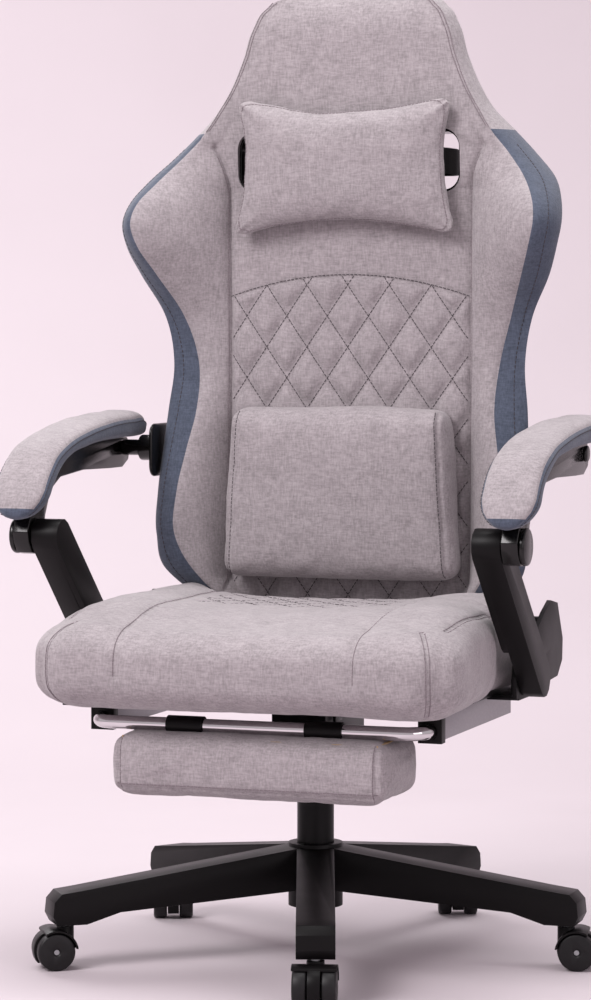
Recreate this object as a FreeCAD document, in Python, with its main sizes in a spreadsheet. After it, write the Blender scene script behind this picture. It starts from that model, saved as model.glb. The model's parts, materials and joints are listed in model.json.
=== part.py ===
import FreeCAD, Part
import math
import os

import Sketcher
from FreeCAD import Placement, Rotation, Vector

# Gaming chair on a five-star base, in millimetres.  The origin is on the floor under the
# gas lift, +Z up.  The chair faces -Y and the sitter's left is +X.

DIMENSIONS = {
    # five-star base and casters
    "base_radius": (350, "lift axis to caster stem"),
    "star_turn": (-71, "direction of the first leg, degrees from +X"),
    "leg_width": (50, "width of a base leg"),
    "leg_wall": (5, "wall of the hollow leg"),
    "leg_tip_low": (60, "underside of a leg at its caster"),
    "leg_tip_height": (43, "height of a leg at its caster"),
    "leg_root_height": (58, "height of a leg at the hub"),
    "hub_radius": (37, "outer radius of the hub"),
    "hub_low": (66, "underside of the hub"),
    "hub_height": (86, "height of the hub"),
    "wheel_radius": (25, "caster wheel"),
    "wheel_width": (19, "one of the twin wheels"),
    "web_width": (16, "hood web between the wheels"),
    "wheel_gap": (1, "wheel to web"),
    "fender_gap": (1.5, "wheel to fender"),
    "fender_wall": (2.5, "fender thickness"),
    "caster_trail": (16, "stem axis to wheel axle"),
    "stem_radius": (5.5, "caster stem"),
    "stem_depth": (36, "stem inside the leg"),
    "axle_radius": (3.5, "caster axle"),
    # gas lift
    "tube_radius": (25, "outer tube of the gas lift"),
    "tube_wall": (2, "outer tube wall"),
    "cylinder_radius": (14, "gas cylinder"),
    "cylinder_wall": (2, "gas cylinder wall"),
    "rod_radius": (5, "piston rod"),
    "tube_low": (62, "underside of the outer tube"),
    "lift_gap": (14, "outer tube to mechanism, lift fully down"),
    "lift_stroke": (80, "lift travel that the rod is made for"),
    "bush_height": (40, "guide bush"),
    # tilt mechanism
    "seat_underside": (360, "floor to the seat frame"),
    "mech_depth": (88, "seat frame to the underside of the mechanism"),
    "mech_half_width": (38, "half width of the mechanism housing"),
    "mech_front": (-70, "front of the housing"),
    "mech_rear": (95, "rear of the housing"),
    "mech_wall": (3, "housing wall"),
    "pin_ahead": (-31, "tilt pin from the lift axis"),
    "pin_below": (26, "tilt pin below the seat frame"),
    "pin_radius": (5, "tilt pin"),
    "plate_half_width": (95, "half width of the seat plate"),
    "plate_thickness": (4, "seat plate"),
    "bolt_half_span": (75, "seat bolts, half spacing across"),
    "bolt_front": (-80, "front seat bolts"),
    "bolt_rear": (110, "rear seat bolts"),
    "bolt_radius": (4, "seat bolt"),
    "knob_radius": (21, "tension knob"),
    "lever_reach": (205, "height lever beyond the housing"),
    # seat
    "seat_half_width": (280, "half width of the seat cushion"),
    "seat_front": (-325, "front of the seat cushion"),
    "seat_rear": (138, "rear of the seat cushion"),
    "seat_height": (118, "height of the seat cushion"),
    "seat_corner": (50, "corner of the seat cushion, in plan"),
    "frame_inset": (30, "seat frame inside the cushion"),
    "frame_bar": (26, "width of a frame bar"),
    "frame_height": (24, "height of a frame bar"),
    "frame_wall": (2, "wall of the seat and back frame tubes"),
    "strap_width": (50, "seat webbing"),
    # retractable footrest
    "rail_offset": (54, "footrest rail inside the seat's side"),
    "rail_half_width": (13, "half width of a rail"),
    "rail_length": (318, "length of a rail"),
    "bar_radius": (9, "footrest tube"),
    "bar_wall": (1.5, "footrest tube wall"),
    "bar_below": (25, "footrest tube below the seat frame"),
    "bar_front": (-240, "front run of the footrest tube"),
    "bar_bend": (30, "bend radius of the footrest tube"),
    "footpad_half_width": (190, "half width of the foot pad"),
    "footpad_ahead": (40, "front of the foot pad ahead of the tube's front run"),
    "footpad_depth": (150, "front to back of the foot pad"),
    "footpad_height": (76, "thickness of the foot pad"),
    # recliner
    "side_plate": (4, "recliner and bracket plates"),
    "cover_width": (6, "recliner cover"),
    "recline_y": (165, "recline shaft"),
    "recline_above": (45, "recline shaft above the seat frame"),
    "shaft_radius": (6, "recline shaft, arm pins and strut pins"),
    "cover_top": (112, "top of the recliner cover above the seat frame"),
    # back
    "bolster": (105, "seat side to the seam of the back's centre panel"),
    "panel_front": (142, "front face of the back's centre panel"),
    "panel_depth": (86, "thickness of the back"),
    "back_foot": (95, "bottom of the back above the seat frame"),
    "shoulder_rise": (575, "top of the straight panel above the back's foot"),
    "head_rise": (855, "top of the head above the back's foot"),
    "frame_tube": (10, "radius of the back frame tube"),
    "hole_rise": (623, "centre of the harness holes above the back's foot"),
    "hole_half_width": (70, "half width of a harness hole"),
    "hole_half_height": (44, "half height of a harness hole"),
    "bridge": (44, "fabric bridge between the harness holes"),
    "bezel_wall": (4, "harness hole bezel"),
    # armrests
    "arm_plane": (44, "inner face of the arm frame beyond the seat's side"),
    "arm_width": (22, "width of the arm frame"),
    "strut_width": (29, "strut across the chair, at its foot"),
    "strut_step": (9, "how much wider the strut is above its foot, towards the seat"),
    "strut_half_height": (23, "strut end radius"),
    "rear_pivot_y": (104, "arm's rear pivot"),
    "rear_pivot_z": (320, "arm's rear pivot above the seat frame"),
    "front_pivot_y": (-200, "arm's front pivot"),
    "front_pivot_z": (214, "arm's front pivot above the seat frame"),
    "strut_foot_y": (0, "strut's lower pivot"),
    "strut_foot_z": (26, "strut's lower pivot above the seat frame"),
    "pivot_play": (9, "clearance round the open front pivot"),
    "arm_pad_width": (76, "armrest pad"),
    # pillows
    "head_pillow_half": (150, "half width of the head pillow"),
    "head_pillow_height": (176, "height of the head pillow"),
    "head_pillow_depth": (60, "thickness of the head pillow"),
    "lumbar_half": (163, "half width of the lumbar pillow"),
    "lumbar_height": (237, "height of the lumbar pillow"),
    "lumbar_depth": (76, "thickness of the lumbar pillow"),
    # fits
    "running": (0.06, "radial clearance of a running fit"),
    "slide_fit": (0.4, "clearance of a sliding fit"),
    "gap": (0.5, "clearance between neighbours"),
}


class Size:
    """A length together with the spreadsheet expression that gives it."""

    def __init__(self, text, value):
        self.text, self.value = text, float(value)

    def join(self, other, sign, value, swap=False):
        left, right = (textOf(other), self.text) if swap else (self.text, textOf(other))
        return Size(f"({left} {sign} {right})", value)

    def __add__(self, other):
        return self.join(other, "+", self.value + number(other))

    __radd__ = __add__

    def __sub__(self, other):
        return self.join(other, "-", self.value - number(other))

    def __rsub__(self, other):
        return self.join(other, "-", number(other) - self.value, True)

    def __mul__(self, other):
        return self.join(other, "*", self.value * number(other))

    __rmul__ = __mul__

    def __truediv__(self, other):
        return self.join(other, "/", self.value / number(other))

    def __neg__(self):
        return self * -1


def number(size):
    return size.value if isinstance(size, Size) else float(size)


def textOf(size):
    return size.text if isinstance(size, Size) else f"({float(size):.6f})"


doc = FreeCAD.newDocument("GamingChair")
sheet = doc.addObject("Spreadsheet::Sheet", "Dimensions")
for row, (alias, (value, note)) in enumerate(DIMENSIONS.items(), start=1):
    sheet.set(f"A{row}", note)
    sheet.set(f"B{row}", str(value))
    sheet.setAlias(f"B{row}", alias)
doc.recompute()


class Sheet:
    """Attribute access to the sheet: d.base_radius is that cell's Size."""

    def __getattr__(self, alias):
        return Size(f"Dimensions.{alias}", DIMENSIONS[alias][0])


d = Sheet()
nodes = []

# ---- helpers -----------------------------------------------------------------------------

ALONG = {"X": Rotation(Vector(0, 1, 0), 90), "Y": Rotation(Vector(1, 0, 0), -90), "Z": Rotation()}
SIDES = {"left": 1, "right": -1}          # the sitter's left is +X


def bind(obj, **sizes):
    for prop, size in sizes.items():
        setattr(obj, prop, number(size))
        if isinstance(size, Size):
            obj.setExpression(prop, size.text)
    return obj


def place(obj, x=0, y=0, z=0, turn=None):
    obj.Placement = Placement(Vector(number(x), number(y), number(z)), turn or Rotation())
    for key, size in (("x", x), ("y", y), ("z", z)):
        if isinstance(size, Size):
            obj.setExpression(f"Placement.Base.{key}", size.text)
    return obj


def block(x0, x1, y0, y1, z0, z1):
    """A box between two corners; x0 may lie either side of x1."""
    if number(x1) < number(x0):
        x0, x1 = x1, x0
    box = bind(doc.addObject("Part::Box", "Block"), Length=x1 - x0, Width=y1 - y0, Height=z1 - z0)
    return place(box, x0, y0, z0)


def rod(radius, length, x, y, z, along="Z"):
    """A cylinder from a point, along an axis."""
    bar = bind(doc.addObject("Part::Cylinder", "Rod"), Radius=radius, Height=length)
    return place(bar, x, y, z, ALONG[along])


def crossRod(radius, x0, x1, y, z):
    """A cylinder along X between two places."""
    low, high = (x0, x1) if number(x0) < number(x1) else (x1, x0)
    return rod(radius, high - low, low, y, z, "X")


def fuse(*shapes):
    if len(shapes) == 1:
        return shapes[0]
    joined = doc.addObject("Part::MultiFuse", "Fuse")
    joined.Shapes = list(shapes)
    return joined


def cut(base, *tools):
    result = doc.addObject("Part::Cut", "Cut")
    result.Base, result.Tool = base, fuse(*tools)
    return result


def group(*shapes):
    """Separate solids that share one node."""
    together = doc.addObject("Part::Compound", "Group")
    together.Links = list(shapes)
    return together


def named(label, shape):
    shape.Label = label
    nodes.append(shape)
    return shape


def rounded(shape, along, radius):
    """Fillets the straight edges of a shape that run along one axis."""
    doc.recompute()
    axis = ALONG[along].multVec(Vector(0, 0, 1))
    edges = []
    for index, edge in enumerate(shape.Shape.Edges, start=1):
        ends = edge.Vertexes
        if len(ends) == 2 and (ends[1].Point - ends[0].Point).normalize().cross(axis).Length < 1e-6:
            edges.append((index, float(radius), float(radius)))
    result = doc.addObject("Part::Fillet", "Rounded")
    result.Base, result.Edges = shape, edges
    return result


def newBody(label, node=True):
    body = doc.addObject("PartDesign::Body", "Body")
    if node:
        named(label, body)
    return body


def originFeature(body, role):
    return next(item for item in body.Origin.OriginFeatures if item.Role == role)


def sketchOn(body, role, offset=0):
    sketch = body.newObject("Sketcher::SketchObject", "Sketch")
    sketch.AttachmentSupport = (originFeature(body, role), [""])
    sketch.MapMode = "FlatFace"
    sketch.AttachmentOffset = Placement(Vector(0, 0, number(offset)), Rotation())
    if isinstance(offset, Size):
        sketch.setExpression("AttachmentOffset.Base.z", offset.text)
    return sketch


def pin(sketch, index, position, point):
    """Ties a point of the sketch to its two coordinates."""
    for kind, axis, size in (("DistanceX", -2, point[0]), ("DistanceY", -1, point[1])):
        if abs(number(size)) < 1e-9:
            sketch.addConstraint(Sketcher.Constraint("PointOnObject", index, position, axis))
            continue
        place_ = sketch.addConstraint(Sketcher.Constraint(kind, -1, 1, index, position, number(size)))
        if isinstance(size, Size):
            sketch.setExpression(f"Constraints[{place_}]", size.text)


def polygon(sketch, points):
    spots = [Vector(number(x), number(y), 0) for x, y in points]
    count = len(points)
    for i in range(count):
        sketch.addGeometry(Part.LineSegment(spots[i], spots[(i + 1) % count]), False)
    for i in range(count):
        sketch.addConstraint(Sketcher.Constraint("Coincident", i, 2, (i + 1) % count, 1))
    for i in range(count):
        pin(sketch, i, 1, points[i])
    return sketch


def circle(sketch, radius, x=0, y=0):
    centre = Vector(number(x), number(y), 0)
    index = sketch.addGeometry(Part.Circle(centre, Vector(0, 0, 1), number(radius)), False)
    size = sketch.addConstraint(Sketcher.Constraint("Radius", index, number(radius)))
    if isinstance(radius, Size):
        sketch.setExpression(f"Constraints[{size}]", radius.text)
    if number(x) == 0 and number(y) == 0:
        sketch.addConstraint(Sketcher.Constraint("Coincident", index, 3, -1, 1))
    else:
        pin(sketch, index, 3, (x, y))
    return sketch


def pad(body, sketch, length):
    feature = body.newObject("PartDesign::Pad", "Pad")
    feature.Profile = sketch
    bind(feature, Length=length)
    body.Tip = feature
    return feature


def pocket(body, sketch, length, reverse=False):
    """Cuts along the sketch's normal backwards, or forwards when reversed."""
    feature = body.newObject("PartDesign::Pocket", "Pocket")
    feature.Profile = sketch
    feature.Reversed = reverse
    bind(feature, Length=length)
    body.Tip = feature
    return feature


def sidePlate(label, points, x0, width, side, node=True):
    """A plate seen from the side: (y, z) outline, from x0 outwards on one side of the chair."""
    body = newBody(label, node)
    start = x0 if side > 0 else -(x0 + width)
    pad(body, polygon(sketchOn(body, "YZ_Plane", start), points), width)
    return body


def ring(y, z, radius, turn, steps, start):
    """Points of an arc about (y, z), from start degrees through turn degrees."""
    angles = [math.radians(start + turn * i / steps) for i in range(steps + 1)]
    return [(y + radius * math.cos(a), z + radius * math.sin(a)) for a in angles]


def capsule(y0, z0, y1, z1, radius0, radius1):
    """Outline of a bar with two round ends."""
    heading = math.degrees(math.atan2(number(z1) - number(z0), number(y1) - number(y0)))
    return ring(y1, z1, radius1, 180, 6, heading - 90) + ring(y0, z0, radius0, 180, 6, heading + 90)


# ---- places that several pieces share ------------------------------------------------------

seatLow = d.seat_underside
mechLow = seatLow - d.mech_depth
tubeTop = mechLow - d.lift_gap
pinY, pinZ = d.pin_ahead, seatLow - d.pin_below
barZ = seatLow - d.bar_below
railX = d.seat_half_width - d.rail_offset
plateX = d.seat_half_width + 1.5
coverX = plateX + d.side_plate + d.gap
strutX = coverX + d.cover_width + 1
armX = d.seat_half_width + d.arm_plane
panelX = d.seat_half_width - d.bolster
backLow = seatLow + d.back_foot
backRear = d.panel_front + d.panel_depth
reclineZ = seatLow + d.recline_above
rearPivotZ = seatLow + d.rear_pivot_z
frontPivotZ = seatLow + d.front_pivot_z
strutFootZ = seatLow + d.strut_foot_z
holeZ = backLow + d.hole_rise
holeX = d.bridge / 2 + d.hole_half_width

# ---- five-star base ------------------------------------------------------------------------


def starBase():
    body = newBody("star_base")
    legLow = d.leg_tip_low
    legTop = legLow + d.leg_tip_height
    rootTop = d.hub_low + d.hub_height - 3
    rootLow = rootTop - d.leg_root_height
    out = d.base_radius
    side = polygon(sketchOn(body, "XZ_Plane", -d.leg_width / 2), [
        (20, rootLow), (20, rootTop), (out - 15, legTop + 2), (out + 10, legTop - 1),
        (out + 20, legTop - 12), (out + 22, legLow + 12), (out + 16, legLow),
        (out - 24, legLow), (out - 70, legLow + 14)])
    leg = pad(body, side, d.leg_width)
    hollow = polygon(sketchOn(body, "XZ_Plane", d.leg_wall - d.leg_width / 2), [
        (d.hub_radius + 12, d.hub_low - 5), (d.hub_radius + 12, rootTop - d.leg_wall - 4),
        (out - 32, legTop - d.leg_wall), (out - 32, d.hub_low - 5)])
    channel = pocket(body, hollow, d.leg_width - d.leg_wall * 2, True)
    socket = circle(sketchOn(body, "XY_Plane", legLow - 1), d.stem_radius + d.running, out, 0)
    bore = pocket(body, socket, d.stem_depth + 2, True)
    legs = body.newObject("PartDesign::PolarPattern", "Legs")
    legs.Originals = [leg, channel, bore]
    legs.Axis = (originFeature(body, "Z_Axis"), [""])
    legs.Angle = 360
    legs.Occurrences = 5
    body.Tip = legs
    pad(body, circle(sketchOn(body, "XY_Plane", d.hub_low), d.hub_radius), d.hub_height)
    centre = circle(sketchOn(body, "XY_Plane", d.hub_low - 1), d.tube_radius + d.running)
    pocket(body, centre, d.hub_height + 2, True)
    body.Placement = Placement(Vector(), Rotation(Vector(0, 0, 1), number(d.star_turn)))
    body.setExpression("Placement.Rotation.Angle", d.star_turn.text)


# Directions that the five casters happen to trail in, degrees from +X.
TRAILS = (-75, 10, 109, -68, 214)


def caster(index, trail):
    """One twin-wheel caster: hood, pins and wheels, made about its own stem axis and then moved."""
    where = math.radians(number(d.star_turn) + 72 * index)
    outX, outY = d.base_radius * math.cos(where), d.base_radius * math.sin(where)
    turn = Rotation(Vector(0, 0, 1), trail)
    axleX, axleZ = d.caster_trail, d.wheel_radius
    fenderRadius = d.wheel_radius + d.fender_gap
    half = d.web_width / 2
    wide = half + d.wheel_gap + d.wheel_width + 1
    hubTop = d.leg_tip_low - 4

    web = rod(fenderRadius + 1, d.web_width, axleX, -half, axleZ, "Y")
    shell = cut(rod(fenderRadius + d.fender_wall, wide * 2, axleX, -wide, axleZ, "Y"),
                rod(fenderRadius, wide * 2 + 2, axleX, -wide - 1, axleZ, "Y"),
                block(axleX - 60, axleX + 60, -wide - 2, wide + 2, -20, axleZ + 4),
                block(axleX + 14, axleX + 60, -wide - 2, wide + 2, -20, axleZ + 60))
    collar = rod(d.stem_radius + 6, hubTop - axleZ - 8, 0, 0, axleZ + 8)
    hood = cut(fuse(web, shell, collar),
               block(axleX - 60, axleX + 60, -wide - 3, wide + 3, -20, 9),
               rod(d.axle_radius + d.running, 60, axleX, -30, axleZ, "Y"),
               rod(d.stem_radius, 60, 0, 0, axleZ + 12),
               rod(fenderRadius, d.wheel_width + 1, axleX, half + d.wheel_gap / 2, axleZ, "Y"),
               rod(fenderRadius, d.wheel_width + 1, axleX, -half - d.wheel_gap / 2 - d.wheel_width - 1,
                   axleZ, "Y"))
    named(f"caster_hood_{index + 1}", place(hood, outX, outY, 0, turn))

    stem = rod(d.stem_radius, d.leg_tip_low + d.stem_depth - 1 - axleZ - 12, 0, 0, axleZ + 12)
    axle = rod(d.axle_radius, wide * 2 - 8, axleX, -wide + 4, axleZ, "Y")
    named(f"caster_pins_{index + 1}", place(group(stem, axle), outX, outY, 0, turn))

    wheels = []
    for start in (half + d.wheel_gap, -half - d.wheel_gap - d.wheel_width):
        disc = rod(d.wheel_radius, d.wheel_width, axleX, start, axleZ, "Y")
        wheels.append(cut(disc, rod(d.axle_radius + d.running, d.wheel_width + 2, axleX, start - 1,
                                    axleZ, "Y")))
    named(f"caster_wheels_{index + 1}", place(group(*wheels), outX, outY, 0, turn))


# ---- gas lift ------------------------------------------------------------------------------


def gasLift():
    inner = d.tube_radius - d.tube_wall
    floor = d.tube_low + 4
    tube = cut(rod(d.tube_radius, tubeTop - d.tube_low, 0, 0, d.tube_low),
               rod(inner, tubeTop - floor + 1, 0, 0, floor),
               rod(d.rod_radius + d.running, 20, 0, 0, d.tube_low - 5))
    named("gas_lift_tube", tube)
    bush = cut(rod(inner - d.running, d.bush_height, 0, 0, tubeTop - d.bush_height),
               rod(d.cylinder_radius + d.running, d.bush_height + 2, 0, 0, tubeTop - d.bush_height - 1))
    named("guide_bush", bush)

    rodLow = d.tube_low - 5
    # fully down the cylinder stops just above the thrust bearing
    cylinderLow = floor + 12
    rodTop = cylinderLow + d.lift_stroke + 60
    shank = rod(d.rod_radius, rodTop - rodLow, 0, 0, rodLow)
    piston = rod(d.cylinder_radius - d.cylinder_wall - d.running, 12, 0, 0, rodTop - 12)
    named("piston_rod", fuse(shank, piston))
    bearing = cut(rod(d.cylinder_radius, 6, 0, 0, floor + d.gap),
                  rod(d.rod_radius + d.running / 2, 8, 0, 0, floor))
    clip = cut(rod(d.rod_radius + 4, 1.5, 0, 0, d.tube_low - 2.5),
               rod(d.rod_radius + d.running / 2, 4, 0, 0, d.tube_low - 4))
    named("rod_bearing_and_clip", group(bearing, clip))

    top = seatLow - 30
    body = rod(d.cylinder_radius, top - cylinderLow, 0, 0, cylinderLow)
    cavity = rod(d.cylinder_radius - d.cylinder_wall, top - 14 - cylinderLow, 0, 0, cylinderLow + 6)
    mouth = rod(d.rod_radius + d.running, 10, 0, 0, cylinderLow - 1)
    button = rod(d.rod_radius, 6, 0, 0, top)
    named("gas_cylinder", cut(fuse(body, button), cavity, mouth))


# ---- tilt mechanism ------------------------------------------------------------------------


def tiltMechanism():
    halfWidth, wall = d.mech_half_width, d.mech_wall
    top = seatLow - 10
    leverY, leverZ = 24, mechLow + 14
    slope = 12
    shell = cut(block(-halfWidth, halfWidth, d.mech_front, d.mech_rear, mechLow, top),
                block(wall - halfWidth, halfWidth - wall, d.mech_front + wall, d.mech_rear - wall,
                      mechLow + wall, top + 5))
    socket = rod(d.cylinder_radius + 5, seatLow - 34 - mechLow, 0, 0, mechLow)
    # the rear of the housing falls away so that the seat plate can tilt down over it
    relief = bind(doc.addObject("Part::Box", "Relief"), Length=halfWidth * 4, Width=300, Height=60)
    lean = math.radians(slope)
    place(relief, -halfWidth * 2, pinY + 13 * math.sin(lean), pinZ + 13 * math.cos(lean),
          Rotation(Vector(1, 0, 0), -slope))
    housing = cut(fuse(shell, socket), relief,
                  rod(d.cylinder_radius + d.running / 2, 120, 0, 0, mechLow - 1),
                  crossRod(d.pin_radius + d.running / 2, -halfWidth - 1, halfWidth + 1, pinY, pinZ),
                  rod(4.5, 20, 0, d.mech_front + 17, mechLow - 5),
                  crossRod(5.5, -halfWidth - 2, wall - halfWidth + 8, leverY, leverZ))
    named("tilt_housing", housing)
    named("tilt_pin", crossRod(d.pin_radius, -halfWidth - 8, halfWidth + 8, pinY, pinZ))

    # tension spring and its knob stand ahead of the pin
    knobY = d.mech_front + 17
    spring = cut(rod(12, 44, 0, knobY, mechLow + wall + d.gap), rod(7, 60, 0, knobY, mechLow))
    named("tilt_spring", spring)
    knob = fuse(rod(d.knob_radius, 26, 0, knobY, mechLow - 30), rod(4, 54, 0, knobY, mechLow - 6))
    named("tension_knob", knob)

    end = -halfWidth - d.lever_reach
    shaft = crossRod(4, end, 8 - halfWidth, leverY, leverZ)
    grip = rounded(block(end - 30, end + 55, leverY - 15, leverY + 15, leverZ - 5, leverZ + 6), "Z", 12)
    named("height_lever", fuse(shaft, grip))


def seatPlate():
    plateLow = seatLow - d.plate_thickness
    inside = d.mech_half_width + 2
    flanges = [block(side * inside, side * (inside + 4), pinY - 14, pinY + 14, pinZ - 12, plateLow)
               for side in (1, -1)]
    sheetMetal = block(-d.plate_half_width, d.plate_half_width, d.bolt_front - 16, d.bolt_rear + 16,
                       plateLow, seatLow)
    spots = boltSpots()
    holes = [rod(d.bolt_radius + 0.3, 20, x, y, seatLow - 10) for x, y in spots]
    hinge = crossRod(d.pin_radius + d.running, -inside - 8, inside + 8, pinY, pinZ)
    named("seat_plate", cut(fuse(sheetMetal, *flanges), hinge, *holes))
    bolts = [fuse(rod(d.bolt_radius, d.frame_height + d.plate_thickness, x, y, plateLow),
                  rod(d.bolt_radius + 3, 5, x, y, plateLow - 5)) for x, y in spots]
    named("seat_bolts", group(*bolts))


def boltSpots():
    return [(side * d.bolt_half_span, y) for side in (1, -1) for y in (d.bolt_front, d.bolt_rear)]


# ---- seat ----------------------------------------------------------------------------------


def seat():
    half, top = d.seat_half_width, seatLow + d.seat_height
    front, rear, corner = d.seat_front, d.seat_rear, d.seat_corner
    frameHalf = half - d.frame_inset
    frameFront, frameRear = front + 40, d.bolt_rear + d.frame_bar / 2
    frameTop = seatLow + d.frame_height

    cushion = newBody("seat_cushion")
    plan = [(corner - half, front), (half - corner, front), (half, front + corner), (half, -60),
            (half - 12, -30), (half - 12, rear), (12 - half, rear), (12 - half, -30), (-half, -60),
            (-half, front + corner)]
    pad(cushion, polygon(sketchOn(cushion, "XY_Plane", seatLow), plan), d.seat_height)
    room = d.gap
    recess = [(-frameHalf - room, frameFront - room), (frameHalf + room, frameFront - room),
              (frameHalf + room, frameRear + room), (-frameHalf - room, frameRear + room)]
    pocket(cushion, polygon(sketchOn(cushion, "XY_Plane", seatLow - 1), recess),
           d.frame_height + 4 + 1, True)

    bar = d.frame_bar
    outer = block(-frameHalf, frameHalf, frameFront, frameRear, seatLow, frameTop)
    windows = [block(bar - frameHalf, frameHalf - bar, frameFront + bar, d.bolt_front - bar / 2,
                     seatLow - 1, frameTop + 1),
               block(bar - frameHalf, frameHalf - bar, d.bolt_front + bar / 2, frameRear - bar,
                     seatLow - 1, frameTop + 1)]
    holes = [rod(d.bolt_radius + 0.1, d.frame_height + 2, x, y, seatLow - 1) for x, y in boltSpots()]
    wall, low, high = d.frame_wall, seatLow + d.frame_wall, frameTop - d.frame_wall
    bores = [block(wall - frameHalf, frameHalf - wall, y + wall, y + bar - wall, low, high)
             for y in (frameFront, d.bolt_front - bar / 2, frameRear - bar)]
    bores += [block(side * (frameHalf - bar + wall), side * (frameHalf - wall), frameFront + wall,
                    frameRear - wall, low, high) for side in (1, -1)]
    named("seat_frame", cut(outer, *windows, *holes, *bores))

    count = 4
    pitch = (frameRear - frameFront - d.strap_width) / (count - 1)
    straps = [block(-frameHalf, frameHalf, frameFront + pitch * i, frameFront + pitch * i + d.strap_width,
                    frameTop + 0.2, frameTop + 2.2) for i in range(count)]
    named("seat_webbing", group(*straps))

    cover = cut(block(20 - frameHalf, frameHalf - 20, frameFront + 5, frameRear - 5, seatLow - 1, seatLow),
                block(-d.plate_half_width - 2, d.plate_half_width + 2, d.bolt_front - 20, d.bolt_rear + 20,
                      seatLow - 2, seatLow + 1))
    named("dust_cover", cover)


# ---- retractable footrest ------------------------------------------------------------------


def bentBar(radius, extra):
    """The footrest tube: two legs joined by a front run, with round bends."""
    bend, front = d.bar_bend, d.bar_front
    rear = front + d.rail_length + 15
    parts = [crossRod(radius, bend - railX, railX - bend, front, barZ)]
    for side, start in ((1, -90), (-1, 180)):
        parts.append(rod(radius, rear - front - bend + extra, side * railX, front + bend, barZ, "Y"))
        elbow = bind(doc.addObject("Part::Torus", "Elbow"), Radius1=bend, Radius2=radius, Angle3=90)
        parts.append(place(elbow, side * (railX - bend), front + bend, barZ,
                           Rotation(Vector(0, 0, 1), start)))
    return fuse(*parts)


def footrest():
    railLow, railTop = barZ - 12, seatLow - 1
    front = d.bar_front + d.bar_bend + 18
    half = d.rail_half_width
    rails, blocks = [], []
    for side in (1, -1):
        x = side * railX
        channel = rod(d.bar_radius + d.slide_fit, d.rail_length + 60, x, front - 30, barZ, "Y")
        rails.append(cut(block(x - half, x + half, front, front + d.rail_length, railLow, railTop), channel))
        mouth = rod(d.bar_radius + d.slide_fit, 60, x, front - 30, barZ, "Y")
        blocks.append(cut(block(x - half - 3, x + half + 3, front - 17, front - 0.3, railLow - 3, railTop),
                          mouth))
    named("footrest_rails", group(*rails))
    named("rail_end_blocks", group(*blocks))
    named("footrest_bar", cut(bentBar(d.bar_radius, 0), bentBar(d.bar_radius - d.bar_wall, 5)))

    padTop = barZ - d.bar_radius - 4.5
    padLow = padTop - d.footpad_height
    wide, near = d.footpad_half_width, d.bar_front - d.footpad_ahead
    board = [15 - wide, wide - 15, near + 14, near + d.footpad_depth - 14, padTop - 9, padTop]
    soft = rounded(block(-wide, wide, near, near + d.footpad_depth, padLow, padTop), "Z", 20)
    named("foot_pad", cut(soft, block(board[0] - 0.5, board[1] + 0.5, board[2] - 0.5, board[3] + 0.5,
                                      board[4] - 0.5, padTop + 2)))
    named("foot_pad_board", block(*board))
    sleeves = []
    for side in (1, -1):
        inside, outside = side * 70, side * 120
        ringOuter = crossRod(d.bar_radius + 3, inside, outside, d.bar_front, barZ)
        tab = block(inside, outside, d.bar_front - 3, d.bar_front + 26, padTop, padTop + 3.5)
        sleeves.append(cut(fuse(ringOuter, tab),
                           crossRod(d.bar_radius + d.slide_fit, side * 60, side * 130, d.bar_front, barZ)))
    named("foot_pad_sleeves", group(*sleeves))


# ---- recliner ------------------------------------------------------------------------------


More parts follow.
